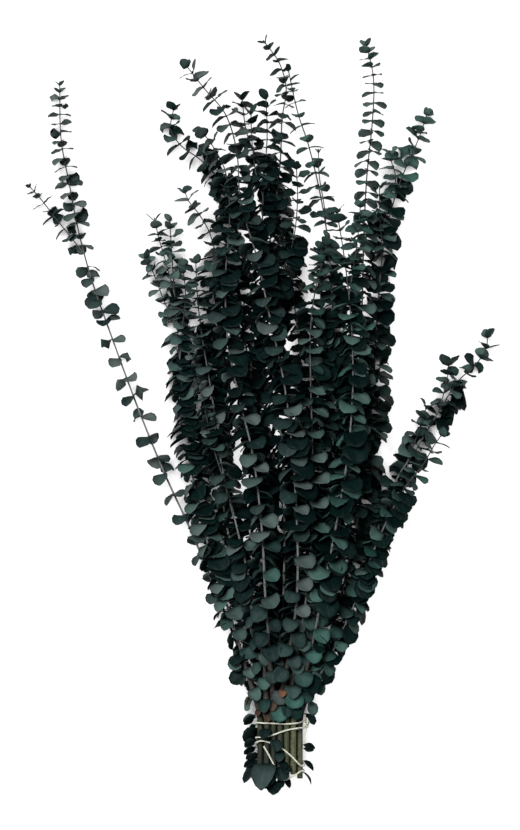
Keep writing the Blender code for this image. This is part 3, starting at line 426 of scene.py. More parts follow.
class Leaf:
    def __init__(self, shoot, length, side, pitches, azimuth, roll, size, shape, stalk=False):
        self.shoot = shoot
        self.length = length
        self.side = side
        self.pitches = pitches
        self.azimuth = azimuth
        self.roll = roll
        self.size = size
        self.shape = shape
        self.look = None
        self.behind = False
        if stalk:
            self.places = [(0.14, 0.26), (0.42, 0.92), (0.76, 0.78)]
        elif size >= bigLeaf:
            self.places = [(0.34, 0.90), (0.74, 0.80)]
        else:
            self.places = [(0.52, 0.92)]
        self.rings = self.makeRings(0.0)
        root = self.rings[0]
        end = self.rings[-1]
        self.middle = (root[0] + root[2] + end[0] + end[1]) / 4
        self.radius = size * 0.8 + 1.0

    def heading(self, aimed, direction, place):
        pitch = math.radians(self.pitches[0] + (self.pitches[1] - self.pitches[0]) * place)
        return aimed * math.cos(pitch) + direction * math.sin(pitch)

    def walk(self, places, steps=4):
        # the blade's middle, heading, width and normal at each place along it
        centre, direction, sides = self.shoot.sides(self.length)
        outward = sides[self.side]
        across = direction.cross(outward)
        point = centre + outward * self.shoot.halfWidth(self.length)
        turn = math.radians(self.azimuth)
        aimed = outward * math.cos(turn) + across * math.sin(turn)
        wide = direction.cross(aimed)
        reach = 0.0
        lastWide = across
        halfWide = self.size * self.shape / 2
        for place, share in places:
            for part in range(steps):
                here = reach + (place - reach) * (part + 0.5) / steps
                point = point + self.heading(aimed, direction, here) * (self.size * (place - reach) / steps)
            reach = place
            heading = self.heading(aimed, direction, place)
            rolled = math.radians(self.roll) * min(1.0, place / 0.34)
            w = wide * math.cos(rolled) + heading.cross(wide) * math.sin(rolled)
            n = heading.cross(w)
            middle = point
            if point.z - abs(w.z) * halfWide * share - abs(n.z) * bladeThickness / 2 < 0:
                # a leaf that would reach through the floor lies down on it
                flat = Vector((heading.x + outward.x * 0.2, heading.y + outward.y * 0.2, 0)).normalized()
                w = Vector((flat.y, -flat.x, 0))
                if w.dot(lastWide) < 0:
                    w = -w
                n = Vector((0, 0, 1.0 if heading.cross(w).z > 0 else -1.0))
                middle = Vector((point.x, point.y, bladeThickness / 2))
            lastWide = w
            yield middle, heading, w, n

    def makeRings(self, extra):
        centre, direction, sides = self.shoot.sides(self.length)
        outward = sides[self.side]
        half = self.shoot.halfWidth(self.length)
        across = direction.cross(outward)
        root = centre + outward * half
        thick = bladeThickness / 2 + extra
        halfWide = self.size * self.shape / 2
        up = direction * (nodeLength / 2)
        rings = [[root - across * half - up, root + across * half - up,
                  root + across * half + up, root - across * half + up]]
        places = self.places + [(1.0, 0.0)]
        for (place, share), (middle, heading, w, n) in zip(places, self.walk(places)):
            if share:
                reachWide = w * (halfWide * share + extra)
                rings.append([middle - reachWide - n * thick, middle + reachWide - n * thick,
                              middle + reachWide + n * thick, middle - reachWide + n * thick])
            else:
                end = middle + heading * extra
                rings.append([end - n * thick, end + n * thick])
        return rings

    def faces(self, corners):
        triangles = []
        for low, high in zip(corners[:-2], corners[1:-1]):
            triangles += [(low[0], low[1], high[1]), (low[0], high[1], high[0]),
                          (low[1], low[2], high[2]), (low[1], high[2], high[1]),
                          (low[2], low[3], high[2]), (low[3], high[3], high[2]),
                          (low[3], low[0], high[0]), (low[3], high[0], high[3])]
        low = corners[-2]
        under, over = corners[-1]
        triangles += [(low[0], low[1], under), (low[1], low[2], over), (low[1], over, under),
                      (low[2], low[3], over), (low[3], low[0], under), (low[3], under, over)]
        return triangles

    def steady(self):
        # whether the bent blade keeps its thickness and stays above the floor
        layers = []
        for low, high in zip(self.rings[:-2], self.rings[1:-1]):
            layers.append(([low[0], low[1], high[1]], [low[3], low[2], high[2]]))
            layers.append(([low[0], high[1], high[0]], [low[3], high[2], high[3]]))
        low, (under, over) = self.rings[-2:]
        layers.append(([low[0], low[1], under], [low[3], low[2], over]))
        for lower, upper in layers:
            for layer in (lower, upper):
                normal = (layer[2] - layer[0]).cross(layer[1] - layer[0]).normalized()
                if min(normal.dot(a - b) for a, b in zip(upper, lower)) < thinnest:
                    return False
        return min(point.z for ring in self.rings[1:] for point in ring) > -0.001

    def tree(self, extra=0.0, outer=False):
        rings = self.makeRings(extra) if extra else list(self.rings)
        if outer:
            rings[0] = [low.lerp(high, 0.3) for low, high in zip(rings[0], rings[1])]
        points = [point for ring in rings for point in ring]
        corners = []
        start = 0
        for ring in rings:
            corners.append(list(range(start, start + len(ring))))
            start += len(ring)
        return BVHTree.FromPolygons(points, self.faces(corners))


def tubeFaces(start, rows, sides):
    # the faces between one ring and the next
    faces = []
    for index in range(rows - 1):
        low = start + index * sides
        for corner in range(sides):
            after = (corner + 1) % sides
            faces.append((low + corner, low + after, low + sides + after, low + sides + corner))
    return faces


def tieSlot(row, place):
    count = (6, 7, 5)[row]  # stems in each row of the tie
    out = place - (count - 1) / 2
    return tieCentre + out * buttPitch, stringWidth + clearance + buttWidth / 2 + row * buttPitch, out


def makeShoots():
    shoots = []
    for number, (name, settings) in enumerate(stems.items()):
        settings = dict(usualStem, **settings)
        x, z, out = tieSlot(*settings["place"])
        spread = fanStart - fanStep * abs(out)
        points = [(x, settings["cut"], z), (x, tieFoot, z), (x, spread, z)] + settings["route"]
        shoots.append(Shoot(name, number, smoothRoute(points, straight=3), settings))
    byName = {shoot.name: shoot for shoot in shoots}
    for number, (name, y, route) in enumerate(sideShoots):
        stem = byName[name]
        length = stem.lengthAtY(y)
        centre, direction, sides = stem.sides(length)
        away = Vector(route[0]) - centre
        side = max(range(4), key=lambda index: sides[index].dot(away))
        root = centre + sides[side] * stem.halfWidth(length)
        settings = dict(stem.settings, turn=35 * number % 90, keep=(0,), of=3, side=side, length=length,
                        older=0.4 * stem.settings["older"], rootWidth=1.5 * stem.halfWidth(length))
        twig = Shoot(name, 40 + number, smoothRoute([root] + route), settings, parent=stem)
        twig.settle(side, length)
        stem.twigs.append(twig)
        shoots.append(twig)
    return shoots


def leafPlaces(shoot):
    rng = random.Random(300 + shoot.number)
    fromTip = 2.2
    pairs = []
    while shoot.total - fromTip > shoot.leafyFrom:
        pairs.append((shoot.total - fromTip, fromTip))
        age = fromTip + shoot.settings["older"]
        spacing = shoot.settings["spacing"] * (shoot.slimAt(fromTip) or 1) * shoot.sparseAt(fromTip)
        fromTip += along(internodes, age) * spacing * rng.uniform(*variety["spacing"])
    return pairs


class Room:
    # what is already there: the stems' tubes, the string, and the leaves by cells
    def __init__(self, shoots, string):
        self.string = string
        self.owners = []
        self.cells = {}
        self.cellSize = 22.0  # no less than two leaves' reach
        points = []
        faces = []
        for shoot in shoots:
            count = max(2, round(shoot.total / 6.0))
            faces += tubeFaces(len(points), count + 1, 4)
            self.owners += [shoot] * (count * 4)
            for index in range(count + 1):
                points += shoot.ring(shoot.total * index / count, extra=cornerLift)
        self.tubes = BVHTree.FromPolygons(points, faces)

    def cell(self, point):
        return tuple(int(math.floor(value / self.cellSize)) for value in point)

    def neighbours(self, leaf):
        x, y, z = self.cell(leaf.middle)
        for i in (-1, 0, 1):
            for j in (-1, 0, 1):
                for k in (-1, 0, 1):
                    for middle, radius, tree in self.cells.get((x + i, y + j, z + k), ()):
                        if (middle - leaf.middle).length < radius + leaf.radius:
                            yield tree

    def free(self, leaf, gap=clearance):
        if gap < clearance and max(point.z for ring in leaf.rings for point in ring) > highest:
            return False
        tree = leaf.tree(extra=gap)
        if any(self.owners[face] is not leaf.shoot for _, face in tree.overlap(self.tubes)):
            return False
        if leaf.tree(extra=gap, outer=True).overlap(self.tubes):
            return False
        if tree.overlap(self.string):
            return False
        return not any(tree.overlap(other) for other in self.neighbours(leaf))

    def add(self, leaf):
        entry = (leaf.middle, leaf.radius, leaf.tree())
        self.cells.setdefault(self.cell(leaf.middle), []).append(entry)


def growLeaf(room, shoot, index, length, fromTip, side, gap=clearance, behind=False):
    rng = random.Random(shoot.number * 10000 + index * 10 + side)
    older = fromTip + shoot.settings["older"]
    age = min(shoot.settings.get("tipAge", 8) + 5 * fromTip, older)
    size = along(leafLengths, age) * shoot.settings["scale"] * rng.uniform(*variety["size"])
    shape = along(leafShapes, age) * rng.uniform(*variety["shape"])
    # near the tie the leaves are pressed down along the stems
    y = shoot.at(length)[0].y
    low = clamp((pressedFrom - y) / press["over"])
    size *= 1 - press["size"] * low
    size /= shoot.sparseAt(fromTip) ** 0.25
    slim = shoot.slimAt(fromTip)
    wild = variety["calm"] if slim else 1.0
    spread = variety["rootPitch"]
    rootPitch = along(rootPitches, fromTip) - press["rootPitch"] * low + rng.uniform(-spread, spread)
    sides = shoot.sides(length)[2]
    hang = hanging * min(fromTip / hangOver, 1) * (1 if behind else abs(sides[side].z))
    spread = variety["tipPitch"]
    tipPitch = along(tipPitches, fromTip) - hang - press["tipPitch"] * low
    tipPitch += rng.uniform(-spread, spread) * wild
    ownTurn = rng.uniform(-variety["turn"], variety["turn"]) * wild
    ownRoll = rng.uniform(-variety["roll"], variety["roll"]) * wild
    # a leaf at the side turns its face up
    if not slim:
        ownRoll += (rng.uniform(*(facingBehind if behind else facing)) + facingLow * low) * sides[side - 1].z
    if behind:
        size *= behindSize["high"] if y > behindSize["above"] else behindSize["low"]
    for shrink in shrinkings:
        for azimuth, pitch, roll in leanings:
            pitches = (rootPitch + pitch * pitchShare, tipPitch + pitch)
            leaf = Leaf(shoot, length, side, pitches, ownTurn + azimuth, ownRoll + roll,
                        size * shrink, shape)
            if leaf.steady() and room.free(leaf, gap):
                leaf.behind = behind
                room.add(leaf)
                return leaf
    return None


def growButtLeaves(room, byName):
    for name, y, side, azimuth, pitch, roll, size, light in buttLeaves:
        shoot = byName[name]
        length = shoot.lengthAtY(y)
        leaf = Leaf(shoot, length, side, (pitch * 0.5, pitch), azimuth, roll, size, buttShape, stalk=True)
        if leaf.steady() and room.free(leaf):
            leaf.look = (light, 0.1, 0)
            room.add(leaf)
            shoot.leaves.append(leaf)


def isBare(shoot, index, length, fromTip, side):
    share = bareTops[shoot.settings["place"][0]]
    rng = random.Random(shoot.number * 1000 + index)
    onTop = shoot.sides(length)[2][side].z > 0.7 and fromTip > topLength
    return onTop and shoot.at(length)[0].y > bareFrom and rng.random() < share


def growLeaves(room, shoots, kept, gap):
    missing = 0
    for shoot in shoots:
        forks = [twig.settings["length"] for twig in shoot.twigs]
        for index, (length, fromTip) in enumerate(leafPlaces(shoot)):
            if (index % shoot.settings["of"] in shoot.settings["keep"]) != kept:
                continue
            if any(abs(length - fork) < forkRoom for fork in forks):
                continue
            shoot.joints.append(length)
            for side in (index % 2, index % 2 + 2):
                if not kept and isBare(shoot, index, length, fromTip, side):
                    continue
                leaf = growLeaf(room, shoot, index, length, fromTip, side, gap)
                if leaf:
                    shoot.leaves.append(leaf)
                else:
                    missing += 1
    return missing


pairGap = 0.08  # room round the pairs between the solids' own
betweenGap = 0.05  # and round the single leaves between the pairs
betweenRounds = [((0, 1, 2), 250, 0.5), ((0, 1), 60, 0.25), ((0, 1), 60, 0.75)]  # rows, highest y, share
standsFree = "stem_01"


def growBetween(room, shoots, rows, top, share, gap):
    # single leaves between the pairs, which close the bunch from behind
    grown = 0
    for shoot in shoots:
        if shoot.settings["place"][0] not in rows or shoot.name == standsFree:
            continue
        places = leafPlaces(shoot)
        for index, ((upper, fromTip), (lower, _)) in enumerate(zip(places, places[1:])):
            length = upper + (lower - upper) * share
            if shoot.at(length)[0].y > top or fromTip < topLength or shoot.slimAt(fromTip):
                continue
            sides = shoot.sides(length)[2]
            for side in range(4):
                if sides[side].z > 0.6:
                    continue
                number = round(1000 * share) + index
                leaf = growLeaf(room, shoot, number, length, fromTip, side, gap, behind=True)
                if leaf:
                    shoot.leaves.append(leaf)
                    grown += 1
    return grown


# how far a loose leaf is moved to find room, more at each try up to the last
looseSearch = dict(tries=40, ease=12, y=7, lift=34, turn=25, roll=15, shrink=0.3)


def growLooseLeaves(room, byName):
    rng = random.Random(77)
    search = looseSearch
    for name, y, side, azimuth, pitch, roll, size, shape, light, green, dry in looseLeaves:
        shoot = byName[name]
        for attempt in range(search["tries"]):
            spread = min(attempt / search["ease"], 1)
            length = shoot.lengthAtY(y + rng.uniform(-search["y"], search["y"]) * spread)
            lift = rng.uniform(0, search["lift"]) * spread
            turn = azimuth + rng.uniform(-search["turn"], search["turn"]) * spread
            tilt = roll + rng.uniform(-search["roll"], search["roll"]) * spread
            shrunk = size * (1 - search["shrink"] * attempt / search["tries"])
            leaf = Leaf(shoot, length, side, ((pitch + lift) * 0.5, pitch + lift), turn, tilt, shrunk, shape,
                        stalk=True)
            if leaf.steady() and room.free(leaf, betweenGap):
                leaf.look = (light, green, dry)
                room.add(leaf)
                shoot.leaves.append(leaf)
                break
        else:
            print("no room for a loose leaf on", name, y)


def tieOutline(corners, offset):
    outline = []
    for step in range(360):
        angle = 2 * math.pi * step / 360
        out = Vector((math.cos(angle), math.sin(angle)))
        outline.append((max(corners, key=out.dot) + out * offset, out))
    return outline


def buttCorners():
    half = buttWidth / 2
    corners = []
    for settings in stems.values():
        x, z, _ = tieSlot(*settings["place"])
        corners += [Vector((x + i * half, z + j * half)) for i in (-1, 1) for j in (-1, 1)]
    return corners


def stringLine(outline, step):
    # the string's middle line, wound round the outline of the butts
    lengths = [0.0]
    for (before, _), (after, _) in zip(outline, outline[1:] + outline[:1]):
        lengths.append(lengths[-1] + (after - before).length)
    around = lengths[-1]
    route = [Vector((quarter * around / 4, y, lift)) for quarter, y, lift in stringRoute]
    points = []
    for place, y, lift in smoothRoute(route, step=step):
        run = place % around
        index = max(number for number, length in enumerate(lengths[:-1]) if length <= run)
        low, out = outline[index]
        high = outline[(index + 1) % len(outline)][0]
        share = (run - lengths[index]) / max(lengths[index + 1] - lengths[index], 0.000001)
        flat = low.lerp(high, share) + out * lift * stringWidth
        points.append(Vector((flat.x, y, flat.y)))
    return points


def carriedFrames(points):
    # each point of a line, with a normal and a side that are carried along it
    normal = Vector((0, 0, 1))
    for index, point in enumerate(points):
        before = points[max(index - 1, 0)]
        after = points[min(index + 1, len(points) - 1)]
        direction = (after - before).normalized()
        normal = (normal - direction * normal.dot(direction)).normalized()
        yield point, normal, direction.cross(normal)


def tubeRings(points, widths, sides):
    rings = []
    for (point, normal, side), width in zip(carriedFrames(points), widths):
        ring = []
        for corner in range(sides):
            angle = 2 * math.pi * corner / sides
            ring.append(point + (normal * math.cos(angle) + side * math.sin(angle)) * width / 2)
        rings.append(ring)
    return rings


def stringTree(points):
    rings = tubeRings(points, [stringWidth] * len(points), 5)
    corners = [point for ring in rings for point in ring]
    return BVHTree.FromPolygons(corners, tubeFaces(0, len(rings), 5))


print("growing the stems")
shoots = makeShoots()
byName = {shoot.name: shoot for shoot in reversed(shoots) if not shoot.parent}
solidString = stringLine(tieOutline(buttCorners(), clearance + stringWidth / 2), 2.0)
room = Room(shoots, stringTree(solidString))
growButtLeaves(room, byName)
missing = growLeaves(room, shoots, True, clearance)
growLooseLeaves(room, byName)
missing += growLeaves(room, shoots, False, pairGap)
for rows, top, share in betweenRounds:
    print("leaves between:", growBetween(room, shoots, rows, top, share, betweenGap))
print("leaves grown:", sum(len(shoot.leaves) for shoot in shoots), "no room for:", missing)


# tools

def deselectAll():
    if bpy.context.object and bpy.context.object.mode != "OBJECT":
        bpy.ops.object.mode_set(mode="OBJECT")
    bpy.ops.object.select_all(action="DESELECT")


def pickVertices(piece, test):
    mesh = bmesh.from_edit_mesh(piece.data)
    for vertex in mesh.verts:
        vertex.select = test(vertex.co)
    mesh.select_flush_mode()
    bmesh.update_edit_mesh(piece.data)


def applyAll(piece):
    for modifier in list(piece.modifiers):
        bpy.ops.object.modifier_apply(modifier=modifier.name)


# the leaf, modelled once in four forms

# outline: half widths at six rows from the stalk to the tip, cup: how far the edges stand up,
# wave: ripple of the edge, curl: how far the tip turns back; all in leaf lengths
leafForms = {
    "leafRound": dict(outline=[0.12, 0.40, 0.50, 0.48, 0.31, 0.06], cup=0.06, wave=0.000, curl=0.00),
    "leafBroad": dict(outline=[0.15, 0.46, 0.51, 0.44, 0.26, 0.03], cup=0.09, wave=0.012, curl=-0.03),
    "leafHollow": dict(outline=[0.12, 0.38, 0.50, 0.49, 0.35, 0.09], cup=0.13, wave=-0.010, curl=0.04),
    "leafWavy": dict(outline=[0.14, 0.43, 0.50, 0.46, 0.28, 0.04], cup=0.03, wave=0.024, curl=-0.05),
}
leafRows = [0.0, 0.14, 0.38, 0.62, 0.86, 1.0]
leafSkin = 0.022  # blade thickness, in leaf lengths


def modelLeaf(name, outline, cup, wave, curl):
    deselectAll()
    bpy.ops.mesh.primitive_grid_add(x_subdivisions=4, y_subdivisions=5, size=1, location=(0, 0, 0))
    leaf = bpy.context.object
    leaf.name = name
    bpy.ops.object.mode_set(mode="EDIT")
    bpy.ops.mesh.select_mode(type="VERT")
    for row, (place, half) in enumerate(zip(leafRows, outline)):
        # each row across the blade goes to its place and is drawn in to the outline
        start = row / 5 - 0.5
        pickVertices(leaf, lambda co: abs(co.y - start) < 0.01 and abs(co.z) < 0.0001)
        bpy.ops.transform.resize(value=(half * 2, 1, 1))
        bpy.ops.transform.translate(value=(0, place - start, 3.0 + curl * place ** 2))
        for sign in (-1, 1):
            # the edges stand up and ripple, and the rows next to them less
            rise = cup * half * 2 + wave * (1 if row % 2 else -1) * sign
            for nearest, furthest, share in ((0.8, 1.2, 1.0), (0.2, 0.8, 0.28)):
                pickVertices(leaf, lambda co: co.z > 2 and abs(co.y - place) < 0.01
                             and half * nearest < co.x * sign < half * furthest)
                bpy.ops.transform.translate(value=(0, 0, rise * share))
    bpy.ops.mesh.select_all(action="SELECT")
    bpy.ops.transform.translate(value=(0, 0, -3.0))
    bpy.ops.object.mode_set(mode="OBJECT")
    solidify = leaf.modifiers.new("skin", "SOLIDIFY")
    solidify.thickness = leafSkin
    solidify.offset = 0
    applyAll(leaf)
    return leaf


print("modelling the leaf")
leafMasters = []
for formName, form in leafForms.items():
    master = modelLeaf(formName, **form)
    mesh = master.data
    points = np.array([vertex.co[:] for vertex in mesh.vertices])
    faces = [tuple(polygon.vertices) for polygon in mesh.polygons]
    upper = np.array([vertex.normal.z for vertex in mesh.vertices]) > 0
    leafMasters.append((points, faces, upper))
    bpy.data.objects.remove(master)


# pieces of each stem

def setUpMesh(name, points, faces, layers):
    mesh = bpy.data.meshes.new(name)
    mesh.from_pydata([tuple(point) for point in points], [], faces)
    for layer, values in layers.items():
        attribute = mesh.attributes.new(layer, "FLOAT", "POINT")
        attribute.data.foreach_set("value", np.asarray(values, dtype=np.float32))
    mesh.update()
    mesh.shade_smooth()
    piece = bpy.data.objects.new(name, mesh)
    bpy.context.scene.collection.objects.link(piece)
    return piece


stations = [(0.0, 0.1), (0.08, 0.5), (0.18, 0.75), (0.34, 0.97), (0.5, 1.0), (0.66, 0.9), (0.82, 0.66),
            (0.92, 0.4), (1.0, 0.05)]
stationPlaces = [place for place, _ in stations]


def atRows(rows, values):
    return [np.interp(rows, stationPlaces, values[:, axis]) for axis in range(3)]


def leafPoints(leaf, master):
    # bends the master along the leaf's own curve
    walk = list(leaf.walk(stations, steps=2))
    x, y, z = master.T
    y = np.clip(y, 0, 1)
    middle, wide, normal = [atRows(y, np.array([step[part][:] for step in walk])) for part in (0, 2, 3)]
    points = np.stack([middle[axis] - wide[axis] * x * leaf.size * leaf.shape
                       + normal[axis] * z * leaf.size for axis in range(3)], axis=1)
    points[:, 2] = np.maximum(points[:, 2], 0.02)
    return points


# how light and green a leaf is: from its stem and lighter low down; painted shade makes it darker where it
# lies far under others, less so where the stem is greener, and darkest between the pairs
toneLook = dict(cell=13, deepFrom=16, deepOver=28, paintedShadeLoss=0.75, kept=0.55, behind=0.2, gain=1.6, base=0.06,
                lowFrom=-60, lowOver=200, lowLight=0.04, lowGreen=0.12, lightSpread=0.36, greenSpread=0.18,
                freshShare=0.06, freshGreen=0.35)


def cellOf(leaf):
    return round(leaf.middle.x / toneLook["cell"]), round(leaf.middle.y / toneLook["cell"])


leafTops = {}
for shoot in shoots:
    for leaf in shoot.leaves:
        leafTops[cellOf(leaf)] = max(leafTops.get(cellOf(leaf), 0), leaf.middle.z)


def depthOf(leaf):
    x, y = cellOf(leaf)
    return max(leafTops.get((x + i, y + j), 0) for i in (-1, 0, 1) for j in (-1, 0, 1)) - leaf.middle.z


def toneOf(leaf, rng):
    settings = leaf.shoot.settings
    low = clamp((toneLook["lowFrom"] - leaf.middle.y) / toneLook["lowOver"])
    deep = clamp((depthOf(leaf) - toneLook["deepFrom"]) / toneLook["deepOver"])
    light = settings["light"] * toneLook["gain"] + toneLook["base"] + low * toneLook["lowLight"]
    light += rng.uniform(-toneLook["lightSpread"], toneLook["lightSpread"])
    # painted shade: darker the further the leaf lies under the leaves round it
    light -= (toneLook["paintedShadeLoss"] - toneLook["kept"] * settings["green"]) * deep
    # painted shade: the leaves between the pairs are kept dark, darker still under others
    if leaf.behind:
        light = toneLook["behind"] * rng.random() * (1 - deep)
    green = settings["green"] + low * toneLook["lowGreen"]
    green += rng.uniform(-toneLook["greenSpread"], toneLook["greenSpread"])
    if rng.random() < toneLook["freshShare"]:
        green += toneLook["freshGreen"]
    return leaf.look or (light, green, 0)


def buildLeaves(name, leaves):
    rng = random.Random(int(name[-2:]))
    points = []
    faces = []
    layers = {"leafToneAndPaintedShade": [], "leafGreen": [], "leafDry": [], "underside": []}
    uvs = []
    start = 0
    for leaf in leaves:
        master, masterFaces, upper = leafMasters[rng.randrange(len(leafMasters))]
        own = leafPoints(leaf, master)
        points.append(own)
        faces += [tuple(start + index for index in face) for face in masterFaces]
        start += len(own)
        for layer, value in zip(layers, toneOf(leaf, rng)):
            layers[layer] += [clamp(value)] * len(own)
        layers["underside"] += list(np.where(upper, 0.0, 1.0))
        uvs.append(np.stack([master[:, 0] + 0.5, master[:, 1]], axis=1))
    piece = setUpMesh(name + "_leaves", np.concatenate(points) * mm, faces, layers)
    uvLayer = piece.data.uv_layers.new(name="blade")
    corners = np.empty(len(piece.data.loops), dtype=np.int32)
    piece.data.loops.foreach_get("vertex_index", corners)
    uvLayer.data.foreach_set("uv", np.concatenate(uvs)[corners].astype(np.float32).ravel())
    return piece


barkSides = 10
barkRings = dict(step=5.0, joint=(-2.0, -0.9, 0.0, 0.9, 2.0), width=1.98)
budRings = [(0.7, 1.25), (1.5, 0.9), (2.1, 0.3)]  # how far past the tip, and share of the last width
cutRings = [(0.92, -0.25), (0.5, -0.3)]  # the chamfer and the flat of the cut end
# how lit each stem's butt stays; the other butts are darkened by painted shade
buttPaintedLights = dict(stem_12=0.9, stem_09=0.5, stem_11=0.8, stem_14=0.8, stem_10=0.45, stem_06=0.2)
nodeBulge = dict(height=0.24, reach=1.3)


def shootTube(shoot):
    # lengths of the rings: even, and closer at each joint where leaves grow
    count = max(4, round(shoot.total / barkRings["step"]))
    stops = {round(shoot.total * index / count, 2) for index in range(count + 1)}
    for joint in shoot.joints:
        stops |= {round(joint + step, 2) for step in barkRings["joint"] if 0 < joint + step < shoot.total}
    stops = sorted(stops)
    points = [shoot.at(stop)[0] for stop in stops]
    widths = []
    for stop in stops:
        bulge = 0.0
        for joint in shoot.joints:
            off = (stop - joint) / nodeBulge["reach"]
            if abs(off) < 3:
                bulge = max(bulge, nodeBulge["height"] * math.exp(-off * off))
        widths.append(shoot.halfWidth(stop) * barkRings["width"] * (1 + bulge))
    end, direction = shoot.at(shoot.total)
    for reach, share in budRings:
        points.append(end + direction * reach)
        widths.append(widths[-1] * share)
        stops.append(shoot.total)
    return tubeRings(points, widths, barkSides), stops


def buildBark(name, shoots):
    points = []
    faces = []
    layers = {"reach": [], "cutEnd": [], "jointRing": []}

    def addRing(ring, *values):
        points.extend(ring)
        for layer, value in zip(layers, values):
            layers[layer] += [value] * barkSides

    for shoot in shoots:
        rings, stops = shootTube(shoot)
        start = len(points)
        for ring, stop in zip(rings, stops):
            share = stop / shoot.total if not shoot.parent else 0.75 + 0.25 * stop / shoot.total
            near = min([abs(stop - joint) for joint in shoot.joints] or [9])
            addRing(ring, share, 0.0, 1.0 if near < 1.2 else 0.0)
        faces += tubeFaces(start, len(rings), barkSides)
        # the cut end has a chamfer and a flat face of its own
        outer = start
        centre, direction = shoot.at(0.0)
        for inset, depth in cutRings:
            low = len(points)
            ring = [centre + (point - centre) * inset + direction * depth for point in rings[0]]
            addRing(ring, 0.0, 1.0, 0.0)
            for corner in range(barkSides):
                after = (corner + 1) % barkSides
                faces.append((low + corner, low + after, outer + after, outer + corner))
            outer = low
        faces.append(tuple(reversed(range(low, low + barkSides))))
        top = start + (len(rings) - 1) * barkSides
        faces.append(tuple(range(top, top + barkSides)))
    layers["buttPaintedLight"] = [buttPaintedLights.get(name, 0.08)] * len(points)
    return setUpMesh(name + "_bark", [point * mm for point in points], faces, layers)


# materials

class Finish:
    # a material with the node steps that all of them use
    def __init__(self, name):
        self.material = bpy.data.materials.new(name)
        self.material.use_nodes = True
        self.nodes = self.material.node_tree.nodes
        self.shader = self.nodes["Principled BSDF"]

    def give(self, socket, value):
        if isinstance(value, bpy.types.NodeSocket):
            self.material.node_tree.links.new(value, socket)
        elif isinstance(value, tuple):
            socket.default_value = (*value, 1.0)
        else:
            socket.default_value = value

    def math(self, operation, *values, clamped=False):
        node = self.nodes.new("ShaderNodeMath")
        node.operation = operation
        node.use_clamp = clamped
        for socket, value in zip(node.inputs, values):
            self.give(socket, value)
        return node.outputs[0]

    def times(self, first, second, clamped=False):
        return self.math("MULTIPLY", first, second, clamped=clamped)

    def gain(self, value, slope, start):
        return self.math("MULTIPLY_ADD", value, slope, start, clamped=True)

    def mix(self, factor, first, second, blend="MIX"):
        node = self.nodes.new("ShaderNodeMix")
        node.data_type = "RGBA"
        node.blend_type = blend
        for index, value in ((0, factor), (6, first), (7, second)):
            self.give(node.inputs[index], value)
        return node.outputs[2]

    def attribute(self, name):
        node = self.nodes.new("ShaderNodeAttribute")
        node.attribute_name = name
        return node.outputs["Fac"]

    def ramp(self, factor, stops):
        node = self.nodes.new("ShaderNodeValToRGB")
        self.give(node.inputs["Fac"], factor)
        while len(node.color_ramp.elements) < len(stops):
            node.color_ramp.elements.new(0.5)
        for element, (place, tone) in zip(node.color_ramp.elements, stops):
            element.position = place
            element.color = (*tone, 1.0)
        return node.outputs[0]

    def place(self):
        return self.nodes.new("ShaderNodeTexCoord").outputs["Object"]

    def noise(self, scale, detail, vector=None):
        node = self.nodes.new("ShaderNodeTexNoise")
        node.inputs["Scale"].default_value = scale
        node.inputs["Detail"].default_value = detail
        self.give(node.inputs["Vector"], vector or self.place())
        return node.outputs["Fac"]

    def bump(self, height, strength, distance):
        node = self.nodes.new("ShaderNodeBump")
        node.inputs["Strength"].default_value = strength
        node.inputs["Distance"].default_value = distance
        self.give(node.inputs["Height"], height)
        self.give(self.shader.inputs["Normal"], node.outputs[0])

    def surface(self, colour, roughness, gloss):
        self.give(self.shader.inputs["Base Color"], colour)
        self.give(self.shader.inputs["Roughness"], roughness)
        self.give(self.shader.inputs["Specular IOR Level"], gloss)
        return self.material


# colours from dark to light, then noise scales, then each effect as slope and start or as a share
leafLook = dict(
    grey=[(0, (0.0002, 0.0040, 0.0042)), (0.4, (0.0080, 0.0200, 0.0190)),
          (0.72, (0.0380, 0.0590, 0.0565)), (1, (0.1020, 0.1240, 0.1200))],
    green=[(0, (0.0002, 0.0046, 0.0038)), (0.4, (0.0036, 0.0230, 0.0190)),
           (0.72, (0.0170, 0.0620, 0.0510)), (1, (0.0400, 0.1200, 0.0980))],
    bloom=(0.095, 0.125, 0.124), vein=(0.085, 0.120, 0.110), dry=(0.20, 0.085, 0.045),
    darkMottleAndShade=(0.002, 0.007, 0.007), patchScale=260, mottleScale=1400, grainScale=700,
    bloomGain=(1.6, -0.72), bloomShare=0.55, bloomUnder=0.12, midrib=(-34.0, 1.0), veinSlant=-0.75,
    veinCount=52.0, sideVein=(4.0, -3.0), sideVeinShare=0.35, veinLight=(0.45, 0.02),
    mottleGain=(1.0, -0.25), mottleShare=0.35, stalkShade=(-1.7, 0.85), edgeShade=(0.9, -0.35),
    roughness=(0.25, 0.36), gloss=0.05, bumpStrength=0.35, bumpDistance=0.0004, veinDepth=-0.8)


